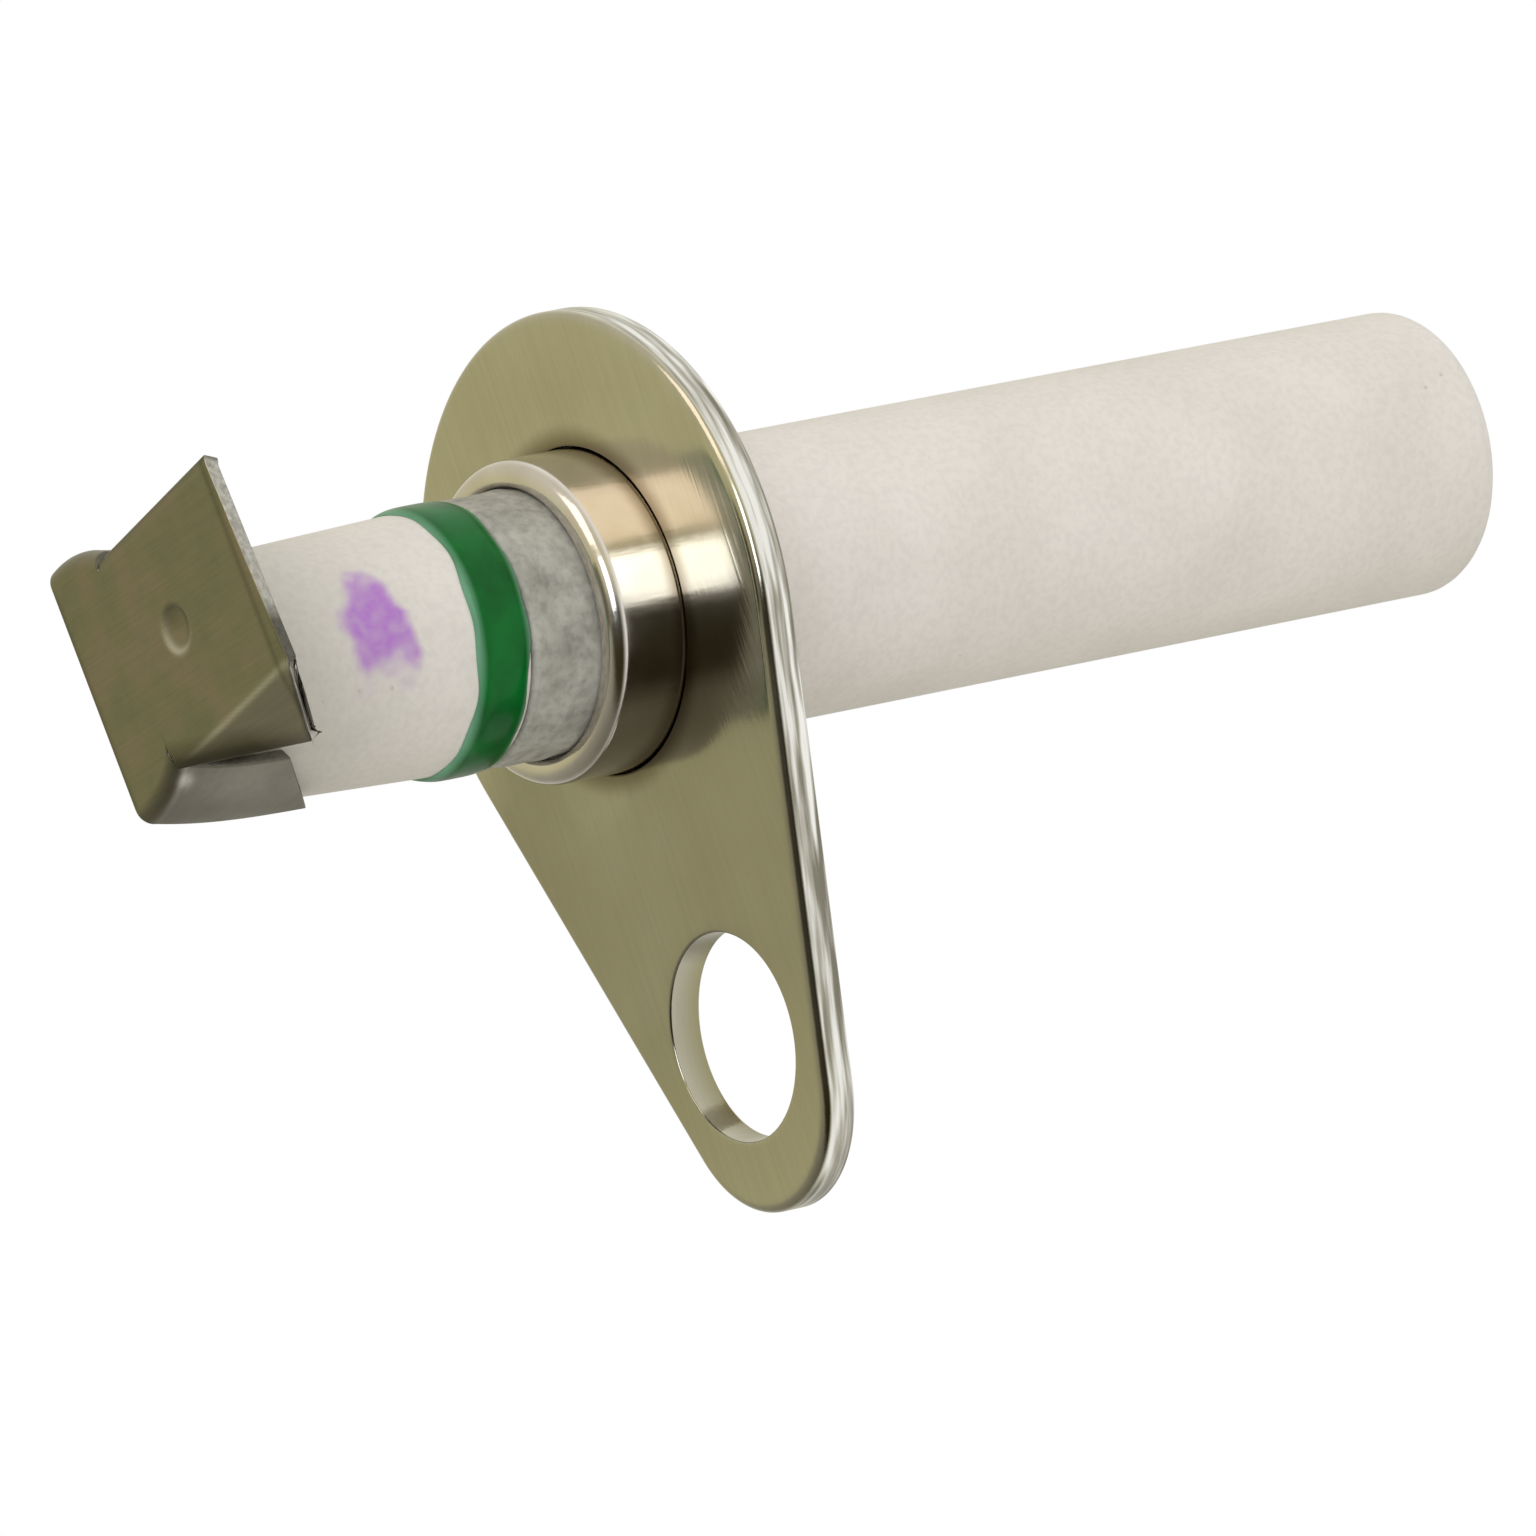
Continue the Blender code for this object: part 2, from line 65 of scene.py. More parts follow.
level_reach = math.cos(CAMERA_ELEVATION)
towards_camera = Vector((math.sin(CAMERA_AZIMUTH) * level_reach, -math.cos(CAMERA_AZIMUTH) * level_reach,
                         math.sin(CAMERA_ELEVATION)))
level_right = Vector((math.cos(CAMERA_AZIMUTH), math.sin(CAMERA_AZIMUTH), 0.0))
level_up = towards_camera.cross(level_right)
view_right = math.cos(CAMERA_ROLL) * level_right + math.sin(CAMERA_ROLL) * level_up
view_up = math.cos(CAMERA_ROLL) * level_up - math.sin(CAMERA_ROLL) * level_right


def new_object(name, data):
    """An object for a camera, light or mesh, linked to the scene."""
    made = bpy.data.objects.new(name, data)
    bpy.context.scene.collection.objects.link(made)
    return made


camera_data = bpy.data.cameras.new("Camera")
camera_data.type = "PERSP"
camera_data.sensor_width = 36.0
camera_data.lens = CAMERA_LENS_MM
camera_data.clip_start = 0.01
camera_data.clip_end = 10.0
camera = new_object("Camera", camera_data)
camera_place = towards_camera * CAMERA_DISTANCE
aim = view_right * AIM_RIGHT - view_up * AIM_DOWN
back = (camera_place - aim).normalized()
side = view_up.cross(back).normalized()
camera_turn = Matrix((side, back.cross(side), back)).transposed()
camera.matrix_world = Matrix.Translation(camera_place) @ camera_turn.to_4x4()
bpy.context.scene.camera = camera
bpy.context.scene.view_settings.view_transform = "Standard"


# ---------------------------------------------------------------- floor and light
# A pale matt table far below and a tent all round: white where it opens behind the part's terminal end, and
# dull beige in front, darkening low down, so that the polished metal mirrors that instead of the table. One
# soft box stands beside the camera and a warmer one above it.

FLOOR_Z = -160.0 * MM
FLOOR_SIZE = 3.0


def linear(hex_code):
    """The linear RGBA of an sRGB hex colour: the low end is divided by 12.92, the rest is a power of 2.4."""
    parts = []
    for shift in (16, 8, 0):
        value = ((hex_code >> shift) & 255) / 255.0
        parts.append(value / 12.92 if value <= 0.04045 else ((value + 0.055) / 1.055) ** 2.4)
    return (*parts, 1.0)


def fill(material, node, inputs):
    """Set a node's sockets by name: one given a node output is linked, any other takes the constant."""
    for key, value in inputs.items():
        if isinstance(value, bpy.types.NodeSocket):
            material.node_tree.links.new(value, node.inputs[key])
        else:
            node.inputs[key].default_value = value


def add(material, kind, settings=None, inputs=None):
    """Add a node of a kind with its own settings and its sockets."""
    node = material.node_tree.nodes.new(kind)
    for key, value in (settings or {}).items():
        setattr(node, key, value)
    fill(material, node, inputs or {})
    return node


def ramp(material, factor, stops):
    """A colour ramp through (place, colour) stops, each colour an sRGB hex code or a linear RGBA."""
    node = add(material, "ShaderNodeValToRGB", inputs={"Fac": factor})
    elements = node.color_ramp.elements
    while len(elements) < len(stops):
        elements.new(0.5)
    for element, (place, colour) in zip(elements, stops):
        element.position = place
        element.color = colour if isinstance(colour, tuple) else linear(colour)
    return node.outputs["Color"]


def grey(value):
    """A linear grey."""
    return (value, value, value, 1.0)


def mix(material, amount, base, over, blend="MIX"):
    """The base colour with another laid over it by an amount from 0 to 1."""
    return add(material, "ShaderNodeMix", {"data_type": "RGBA", "blend_type": blend},
               {"Factor": amount, "A": base, "B": over}).outputs["Result"]


def spread(material, value, start, end, low=0.0, high=1.0, curve="SMOOTHSTEP"):
    """A value carried from the span start..end to low..high, held at both ends."""
    node = add(material, "ShaderNodeMapRange", {"interpolation_type": curve},
               {"Value": value, "From Min": start, "From Max": end, "To Min": low, "To Max": high})
    return node.outputs["Result"]


def product(material, one, other):
    """The product of two values."""
    return add(material, "ShaderNodeMath", {"operation": "MULTIPLY"}, {0: one, 1: other}).outputs["Value"]


world = bpy.data.worlds.new("White tent")
bpy.context.scene.world = world
world.use_nodes = True
world.node_tree.nodes.clear()
direction = add(world, "ShaderNodeTexCoord").outputs["Generated"]
axes = add(world, "ShaderNodeSeparateXYZ", inputs={"Vector": direction})
raised = spread(world, axes.outputs["Z"], -1.0, 1.0, curve="LINEAR")
high_up = [(0.60, 0xCDC9A6), (1.0, 0xD8D4C8)]
front_low = [(0.16, 0x38321F), (0.36, 0x423E31), (0.47, 0xA09D8E)]
rear_low = [(0.0, 0x77746A), (0.40, 0xA19E90)]
front_colour = ramp(world, raised, front_low + high_up)
rear_colour = ramp(world, raised, rear_low + high_up)
tent_colour = mix(world, spread(world, axes.outputs["Y"], -0.35, 0.1), front_colour, rear_colour)
openness = product(world, spread(world, axes.outputs["X"], -0.15, 0.45),
                   spread(world, axes.outputs["Y"], 0.2, 0.7, 1.0, 0.35))
tent_open = mix(world, openness, tent_colour, (1.0, 1.0, 0.98, 1.0))
tent = add(world, "ShaderNodeBackground", inputs={"Color": tent_open, "Strength": 1.0})
seen = add(world, "ShaderNodeBackground", inputs={"Color": grey(1.0), "Strength": 1.0})
is_seen = add(world, "ShaderNodeLightPath").outputs["Is Camera Ray"]
either = add(world, "ShaderNodeMixShader", inputs={0: is_seen, 1: tent.outputs[0], 2: seen.outputs[0]})
add(world, "ShaderNodeOutputWorld", inputs={"Surface": either.outputs[0]})


def soft_box(name, direction, distance, size, power, colour):
    """A rectangular area light at a distance along a direction from the part, facing it."""
    light = bpy.data.lights.new(name, "AREA")
    light.shape = "RECTANGLE"
    light.size, light.size_y = size
    light.energy = power
    light.color = linear(colour)[:3]
    lamp = new_object(name, light)
    away = Vector(direction).normalized()
    facing = away.to_track_quat("Z", "Y").to_matrix().to_4x4()
    lamp.matrix_world = Matrix.Translation(away * distance) @ facing


soft_box("Front box", (-0.555, -0.83, 0.06), 0.75, (0.34, 0.40), 1.7, 0xE6EDFF)
soft_box("Upper box", (-0.52, -0.50, 0.69), 0.75, (0.50, 0.50), 0.95, 0xFFEFEC)

floor_mesh = bpy.data.meshes.new("floor")
half = FLOOR_SIZE / 2.0
floor_corners = [(-half, -half), (half, -half), (half, half), (-half, half)]
floor_mesh.from_pydata([(x, y, FLOOR_Z) for x, y in floor_corners], [], [(0, 1, 2, 3)])
floor = new_object("floor", floor_mesh)
paper = bpy.data.materials.new("Matt white paper")
paper.use_nodes = True
fill(paper, paper.node_tree.nodes["Principled BSDF"], {"Base Color": linear(0xEDECEA), "Roughness": 0.9})
floor.data.materials.append(paper)
floor.visible_glossy = False


# ---------------------------------------------------------------- insulator
# One body of pressed and fired alumina: barrel, shoulder, waist for the packing and a tapered nose, with
# a socket for the lead behind and a recess for the cement in front. A thin clear glaze is fired on top.

nose_corner, barrel_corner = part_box("insulator")
NOSE_X = nose_corner.x
BARREL_END_X = barrel_corner.x
BARREL_R = barrel_corner.z
SHOULDER_X = -0.7 * MM
NOSE_ROOT_R = BARREL_R - 0.53 * MM
NOSE_TIP_R = NOSE_ROOT_R - 0.32 * MM
NOSE_ROOT_X = -5.2 * MM
NOSE_TAPER_START_X = -7.05 * MM
WAIST_R = NOSE_ROOT_R - 0.67 * MM
RECESS_R = NOSE_TIP_R - 0.6 * MM
RECESS_DEPTH = 1.5 * MM
SOCKET_R = BARREL_R - 1.45 * MM
SOCKET_FLOOR_X = BARREL_END_X - 12.0 * MM
WELL_R = 2.0 * MM
WELL_FLOOR_X = SOCKET_FLOOR_X - 2.0 * MM
ROD_R = 0.8 * MM
ROD_BORE_R = ROD_R + 0.12 * MM
SEAT = 0.05 * MM               # gap left where two pieces touch
FIT = 0.08 * MM                # radial clearance of a round piece in its bore


def rounded(corners, steps=8):
    """Points along a polyline of (x, r, fillet) corners, each corner replaced by an arc of its fillet radius.

    The arc is tangent to both runs: it starts fillet / tan(half the corner's angle) before the corner and is
    swept round the centre that lies on the corner's bisector.
    """
    count = len(corners)
    points = []
    for index, (x, r, fillet) in enumerate(corners):
        here = np.array((x, r))
        if fillet <= 0.0:
            points.append(here)
            continue
        before = np.array(corners[(index - 1) % count][:2]) - here
        after = np.array(corners[(index + 1) % count][:2]) - here
        before = before / np.linalg.norm(before)
        after = after / np.linalg.norm(after)
        half_angle = math.acos(np.clip(before @ after, -1.0, 1.0)) / 2.0
        run = fillet / math.tan(half_angle)
        bisector = (before + after) / np.linalg.norm(before + after)
        centre = here + bisector * fillet / math.sin(half_angle)
        start = here + before * run - centre
        end = here + after * run - centre
        sweep = math.acos(np.clip(start @ end / fillet ** 2, -1.0, 1.0))
        for step in range(steps + 1):
            share = step / steps
            points.append(centre + (start * math.sin((1.0 - share) * sweep)
                                    + end * math.sin(share * sweep)) / math.sin(sweep))
    return np.array(points)


def subdivided(points, longest):
    """The closed polyline with each run cut into equal pieces no longer than a length."""
    pieces = []
    for start, end in zip(points, np.roll(points, -1, axis=0)):
        count = max(1, math.ceil(np.linalg.norm(end - start) / longest))
        share = np.arange(count)[:, None] / count
        pieces.append(start + (end - start) * share)
    return np.vstack(pieces)


def grid_piece(name, points, closed_rows, closed_columns, mask=None):
    """An object from a grid of points, rows by columns by xyz: one quad between each four neighbours.

    Quads wrap round where the grid is closed, and a quad with a masked corner is left out.
    """
    rows, columns = points.shape[:2]
    index = np.arange(rows * columns).reshape(rows, columns)
    valid = np.ones((rows, columns), bool) if mask is None else mask
    down = np.roll(index, -1, axis=0)
    across = np.roll(index, -1, axis=1)
    both = np.roll(down, -1, axis=1)
    quads = np.stack([index, down, both, across], axis=-1)
    kept = valid & np.roll(valid, -1, 0) & np.roll(valid, -1, 1) & np.roll(np.roll(valid, -1, 0), -1, 1)
    if not closed_rows:
        kept[-1, :] = False
    if not closed_columns:
        kept[:, -1] = False
    quads = quads[kept]
    used = np.unique(quads)
    renumber = np.zeros(rows * columns, int)
    renumber[used] = np.arange(len(used))
    mesh = bpy.data.meshes.new(name)
    mesh.from_pydata(points.reshape(-1, 3)[used].tolist(), [], renumber[quads].tolist())
    mesh.update()
    return new_object(name, mesh)


def outward(piece):
    """Merge doubled points, turn every face outwards and shade smooth with sharp corners kept."""
    bm = bmesh.new()
    bm.from_mesh(piece.data)
    bmesh.ops.remove_doubles(bm, verts=bm.verts, dist=1e-7)
    bmesh.ops.recalc_face_normals(bm, faces=bm.faces)
    bm.to_mesh(piece.data)
    bm.free()
    piece.data.shade_smooth()
    piece.data.set_sharp_from_angle(angle=math.radians(40.0))
    return piece


def turned(name, profile, segments, stretch=None):
    """A closed (x, r) profile carried round X: the point at angle a is (x, r cos a, r sin a).

    stretch(x, r, a), where it is given, returns the x and r to use at that angle.
    """
    angle = np.arange(segments) * 2.0 * np.pi / segments
    x = np.repeat(profile[:, :1], segments, axis=1)
    r = np.repeat(profile[:, 1:], segments, axis=1)
    turn = np.broadcast_to(angle, x.shape)
    if stretch is not None:
        x, r = stretch(x, r, turn)
    points = np.stack([x, r * np.cos(turn), r * np.sin(turn)], axis=-1)
    return outward(grid_piece(name, points, True, True))


def new_material(name):
    """A material with nodes, and the place in the piece's own coordinates for its patterns."""
    material = bpy.data.materials.new(name)
    material.use_nodes = True
    return material, add(material, "ShaderNodeTexCoord").outputs["Object"]


def noise(material, place, size_mm, detail):
    """Cloudy noise whose blotches are about a size across."""
    return add(material, "ShaderNodeTexNoise",
               inputs={"Vector": place, "Scale": 1.0 / (size_mm * MM), "Detail": detail}).outputs["Fac"]


def bump(material, height, depth_mm, strength=1.0):
    """A normal for a height pattern of a depth."""
    node = add(material, "ShaderNodeBump",
               inputs={"Height": height, "Distance": depth_mm * MM, "Strength": strength})
    return node.outputs["Normal"]


def surface(material, inputs):
    """Set the surface's own sockets."""
    fill(material, material.node_tree.nodes["Principled BSDF"], inputs)


def finish_piece(piece, material, node):
    """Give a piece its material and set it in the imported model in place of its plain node."""
    piece.data.materials.append(material)
    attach(piece, "root")
    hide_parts(node)


body = [(NOSE_X, RECESS_R, 0.15 * MM), (NOSE_X, NOSE_TIP_R, 0.3 * MM),
        (NOSE_TAPER_START_X, NOSE_ROOT_R, 3.0 * MM), (NOSE_ROOT_X, NOSE_ROOT_R, 0.1 * MM),
        (NOSE_ROOT_X, WAIST_R, 0.2 * MM), (SHOULDER_X, WAIST_R, 0.2 * MM), (SHOULDER_X, BARREL_R, 0.3 * MM),
        (BARREL_END_X, BARREL_R, 0.85 * MM), (BARREL_END_X, SOCKET_R, 0.4 * MM),
        (SOCKET_FLOOR_X, SOCKET_R, 0.3 * MM), (SOCKET_FLOOR_X, WELL_R, 0.15 * MM),
        (WELL_FLOOR_X, WELL_R, 0.1 * MM), (WELL_FLOOR_X, ROD_BORE_R, 0.1 * MM),
        (NOSE_X + RECESS_DEPTH, ROD_BORE_R, 0.1 * MM), (NOSE_X + RECESS_DEPTH, RECESS_R, 0.15 * MM)]
insulator = turned("insulator_body", subdivided(rounded(body), 0.5 * MM), 192)

# Glazed alumina: warm white, slightly mottled where the glaze pools, with a fine grain under a clear gloss.
# An inspector's stamp left a smudge of violet ink on the nose.
INK_X = -10.65 * MM
INK_REACH_X = 1.45 * MM
INK_REACH_ROUND = 1.9 * MM
INK_ANGLE = math.radians(-3.5)
INK_EDGE = (1.25, 1.8)         # where the ragged edge starts to fade and where it is gone
ink_r = NOSE_TIP_R + 0.15 * MM

alumina, place = new_material("Glazed alumina")
pooling = noise(alumina, place, 4.0, 3.0)
body_colour = ramp(alumina, pooling, [(0.30, 0xDBD6D1), (0.70, 0xE3DEDA)])
grain = noise(alumina, place, 0.25, 2.0)
grain_tone = ramp(alumina, grain, [(0.35, grey(0.94)), (0.60, grey(1.0))])
grained = mix(alumina, 1.0, body_colour, grain_tone, "MULTIPLY")
speck = add(alumina, "ShaderNodeTexVoronoi", inputs={"Vector": place, "Scale": 1.0 / (2.0 * MM)})
speck_tone = ramp(alumina, speck.outputs["Distance"], [(0.02, 0xB3A595), (0.05, grey(1.0))])
speckled = mix(alumina, 0.35, grained, speck_tone, "MULTIPLY")
along_nose = add(alumina, "ShaderNodeSeparateXYZ", inputs={"Vector": place}).outputs["X"]
# Painted shade: the glaze is greyed towards the nose's tip, where the spark cap shades it.
cap_shade_share = spread(alumina, along_nose, NOSE_X, NOSE_TAPER_START_X, 0.9, 0.1)
shaded_near_cap = mix(alumina, cap_shade_share, speckled, linear(0xD0D2CC), "MULTIPLY")
stamp = add(alumina, "ShaderNodeMapping",
            inputs={"Vector": place,
                    "Location": (-INK_X / INK_REACH_X, ink_r * math.cos(INK_ANGLE) / (3.0 * INK_REACH_ROUND),
                                 -ink_r * math.sin(INK_ANGLE) / INK_REACH_ROUND),
                    "Scale": (1.0 / INK_REACH_X, 1.0 / (3.0 * INK_REACH_ROUND), 1.0 / INK_REACH_ROUND)})
from_stamp = add(alumina, "ShaderNodeVectorMath", {"operation": "LENGTH"}, {0: stamp.outputs["Vector"]})
smear = noise(alumina, place, 1.5, 2.5)
ragged = add(alumina, "ShaderNodeMath", {"operation": "MULTIPLY_ADD"},
             {0: smear, 1: 1.5, 2: from_stamp.outputs["Value"]}).outputs["Value"]
blotting = noise(alumina, place, 0.5, 2.0)
ink_amount = product(alumina, spread(alumina, ragged, *INK_EDGE, 0.9, 0.0),
                     spread(alumina, blotting, 0.3, 0.6, 0.75, 1.0, "LINEAR"))
inked = mix(alumina, ink_amount, shaded_near_cap, linear(0xA45FC2))
waviness = noise(alumina, place, 1.6, 2.0)
surface(alumina, {"Base Color": inked, "Normal": bump(alumina, waviness, 0.02, 0.5), "Roughness": 0.5,
                  "IOR": 1.55, "Coat Weight": 0.15, "Coat Roughness": 0.3})
finish_piece(insulator, alumina, "insulator")


# ---------------------------------------------------------------- electrode rod
# A drawn rod of heat-resisting nickel-chrome-iron wire, 1.6 mm thick. It runs the whole length of the bore
# and is bent over behind the spark cap, where its foot is spot welded.

rod_low, rod_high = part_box("electrode_rod")
CAP_TILT = math.radians(-6.5)
rod_foot_x = rod_low.x + ROD_R
rod_reach = -rod_low.y / math.cos(CAP_TILT)
rod_bend_r = NOSE_X - SEAT - rod_foot_x


def swept(name, route, radius, sides=24, cap_rings=6):
    """A round bar along a route in a plane: rings square to the route, closed by half-round ends.

    A ring's point at angle a is centre + radius (cos a * side + sin a * square), and the end rings shrink as
    the cosine of the latitude while they move out by its sine.
    """
    route = np.asarray(route)
    ahead = np.gradient(route, axis=0)
    ahead = ahead / np.linalg.norm(ahead, axis=1)[:, None]
    square = np.cross(ahead[0], ahead[-1])
    square = square / np.linalg.norm(square)
    sideways = np.cross(square, ahead)
    latitude = np.linspace(0.0, np.pi / 2.0, cap_rings + 1)[1:]
    sizes = np.concatenate([np.cos(latitude)[::-1], np.ones(len(route)), np.cos(latitude)]) * radius
    shifts = 0.45 * radius * np.sin(latitude)
    centres = np.vstack([route[0] - ahead[0] * shifts[::-1, None], route,
                         route[-1] + ahead[-1] * shifts[:, None]])
    pick = np.clip(np.arange(-cap_rings, len(route) + cap_rings), 0, len(route) - 1)
    angle = np.arange(sides) * 2.0 * np.pi / sides
    ring = np.cos(angle)[None, :, None] * sideways[pick][:, None] + np.sin(angle)[None, :, None] * square
    points = centres[:, None] + ring * np.maximum(sizes, 1e-9)[:, None, None]
    return outward(grid_piece(name, points, False, True))


def streaks(material, place, sizes_mm, detail, turn=0.0):
    """Noise stretched to a size along each axis, the axes turned about X by an angle."""
    scale = tuple(1.0 / (size * MM) for size in sizes_mm)
    stretched = add(material, "ShaderNodeMapping",
                    inputs={"Vector": place, "Rotation": (turn, 0.0, 0.0), "Scale": scale})
    return add(material, "ShaderNodeTexNoise",
               inputs={"Vector": stretched.outputs["Vector"], "Scale": 1.0, "Detail": detail}).outputs["Fac"]


turn = np.linspace(0.0, np.pi / 2.0, 25)
bend = np.stack([NOSE_X - SEAT - rod_bend_r * np.sin(turn), -rod_bend_r * (1.0 - np.cos(turn))], axis=1)
run = np.linspace(rod_high.x - 0.4 * MM, NOSE_X + 0.2 * MM, 60)
foot = np.linspace(-rod_bend_r - 0.2 * MM, -rod_reach + 0.4 * MM, 14)
flat_route = np.vstack([np.stack([run, 0.0 * run], axis=1), bend,
                        np.stack([0.0 * foot + rod_foot_x, foot], axis=1)])
rod_route = flat_route @ np.array([(1.0, 0.0, 0.0), (0.0, math.cos(CAP_TILT), math.sin(CAP_TILT))])
rod = swept("electrode_rod_wire", rod_route, ROD_R)

# Heat-resisting wire: dull brown-grey from the oxide that firing left, with fine die lines along its length.
heat_wire, place = new_material("Oxidised nickel-chrome wire")
lines = streaks(heat_wire, place, (6.0, 0.12, 0.12), 3.0)
wire_colour = ramp(heat_wire, lines, [(0.3, 0x6E6656), (0.7, 0x938A76)])
surface(heat_wire, {"Base Color": wire_colour, "Normal": bump(heat_wire, lines, 0.01), "Metallic": 1.0,
                    "Roughness": 0.42})
finish_piece(rod, heat_wire, "electrode_rod")


# ---------------------------------------------------------------- cement plugs
# Grey refractory cement, filled in wet round the rod at the nose and behind the socket, then fired.


def lumpy(x, r, amount, size):
    """A smooth uneven height at points (x, r): a sum of five sine waves of unlike periods and directions."""
    total = np.zeros_like(x)
    for pace, drift, phase in ((1.0, 0.7, 0.3), (1.7, -1.1, 1.9), (2.3, 0.4, 4.1), (3.1, -0.6, 2.2),
                               (4.3, 1.3, 5.0)):
        total += np.sin(pace * x / size + drift * r / size + phase) / pace
    return amount * total / 2.0


def plug(name, front_x, back_x, outer_r, meniscus):
    """A cement plug with a hole for the rod; its face sinks between the walls like a meniscus."""
    inner_r = ROD_R + 0.03 * MM
    corners = [(front_x, inner_r, 0.0), (front_x, outer_r, 0.0),
               (back_x, outer_r, 0.05 * MM), (back_x, inner_r, 0.05 * MM)]
    profile = subdivided(rounded(corners), 0.12 * MM)

    def settle(x, r, angle):
        """x sinks by a half sine across the face, and is roughened by the lumps of the set paste."""
        share = np.clip((r - inner_r) / (outer_r - inner_r), 0.0, 1.0)
        at_face = np.clip(1.0 - np.abs(x - front_x) / (0.3 * abs(back_x - front_x)), 0.0, 1.0)
        sink = (meniscus * np.sin(np.pi * share)
                + lumpy(r * np.cos(angle), r * np.sin(angle), 0.05 * MM, 0.3 * MM))
        return x + at_face * math.copysign(1.0, back_x - front_x) * (0.06 * MM + sink), r

    return turned(name, profile, 96, settle)


nose_plug_low, nose_plug_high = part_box("nose_cement")
rear_plug_low, rear_plug_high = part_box("rear_cement")
nose_plug = plug("nose_cement_plug", nose_plug_low.x, nose_plug_high.x, nose_plug_high.z, 0.12 * MM)
rear_plug = plug("rear_cement_plug", rear_plug_high.x, rear_plug_low.x, rear_plug_high.z, 0.10 * MM)

# Refractory cement: matt and sandy, its grains about 0.1 mm, drawn a little coarser so that they show.
refractory, place = new_material("Fired refractory cement")
sand = noise(refractory, place, 0.16, 4.0)
sand_colour = ramp(refractory, sand, [(0.30, 0x6E6A60), (0.70, 0x98948A)])
surface(refractory, {"Base Color": sand_colour, "Normal": bump(refractory, sand, 0.06), "Roughness": 0.93})
finish_piece(nose_plug, refractory, "nose_cement")
finish_piece(rear_plug, refractory, "rear_cement")


# ---------------------------------------------------------------- terminal stud and lock washer
# A plated steel stud, turned from hexagon bar and screwed on the rod's rear end against a split spring
# washer. The lead's connector snaps on the grooved shank.

stud_low, stud_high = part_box("terminal_stud")
STUD_R = 2.0 * MM
STUD_HEX_HEIGHT = 1.6 * MM
STUD_NECK_R = 1.55 * MM
stud_start_x = stud_low.x
stud_end_x = stud_high.x
hex_end_x = stud_start_x + STUD_HEX_HEIGHT
hex_r = stud_high.y
neck_x = stud_end_x - 2.75 * MM
stud_bore_end_x = stud_start_x + 4.05 * MM
stud_profile = [(stud_start_x, ROD_R + SEAT, 0.0), (stud_start_x, hex_r, 0.12 * MM),
                (hex_end_x, hex_r, 0.12 * MM), (hex_end_x, STUD_R, 0.15 * MM),
                (neck_x - 0.25 * MM, STUD_R, 0.12 * MM), (neck_x, STUD_NECK_R, 0.12 * MM),
                (neck_x + 0.65 * MM, STUD_NECK_R, 0.12 * MM), (neck_x + 0.9 * MM, STUD_R, 0.12 * MM),
                (stud_end_x, STUD_R, 0.7 * MM), (stud_end_x, 1e-6, 0.0), (stud_bore_end_x, 1e-6, 0.0),
                (stud_bore_end_x, ROD_R + SEAT, 0.1 * MM)]


def hexagonal(x, r, angle):
    """Outside the shank the radius is that of a hexagon: apothem / cos(angle from the nearest flat's middle).

    The flats' corners are turned off by a cone of 30 degrees, so r is the least of hexagon, cone and bar.
    """
    apothem = hex_r * math.cos(math.pi / 6.0)
    from_flat = (angle + math.pi / 6.0) % (math.pi / 3.0) - math.pi / 6.0
    flat_r = apothem / np.cos(from_flat)
    cone_r = apothem + 0.05 * MM + np.minimum(x - stud_start_x, hex_end_x - x) / math.tan(math.radians(30.0))
    on_hex = (r > STUD_R + 0.2 * MM) & (x < hex_end_x + 0.01 * MM)
    return x, np.where(on_hex, np.minimum(np.minimum(r, flat_r), cone_r), r)


stud = turned("terminal_stud_turned", subdivided(rounded(stud_profile), 0.25 * MM), 144, hexagonal)

# Plated terminal steel: bright, a little yellow, with the turning tool's rings round it.
stud_steel, place = new_material("Nickel-plated turned steel")
rings = add(stud_steel, "ShaderNodeTexWave", {"bands_direction": "X"},
            {"Vector": place, "Scale": 1.0 / (1.2 * MM), "Distortion": 1.5, "Detail": 2.0})
tarnish = noise(stud_steel, place, 1.5, 3.0)
plating = ramp(stud_steel, tarnish, [(0.3, 0xB9B3A2), (0.7, 0xD6D1C3)])
surface(stud_steel, {"Base Color": plating, "Normal": bump(stud_steel, rings.outputs["Fac"], 0.006),
                     "Metallic": 1.0, "Roughness": 0.24})
finish_piece(stud, stud_steel, "terminal_stud")

washer_low, washer_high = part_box("lock_washer")
WASHER_HOLE_R = ROD_R + FIT
WASHER_GAP_ANGLE = math.radians(12.0)
WASHER_STEPS = 120
WASHER_FLATNESS = 0.86         # the wire's thickness as a share of the ring's free height


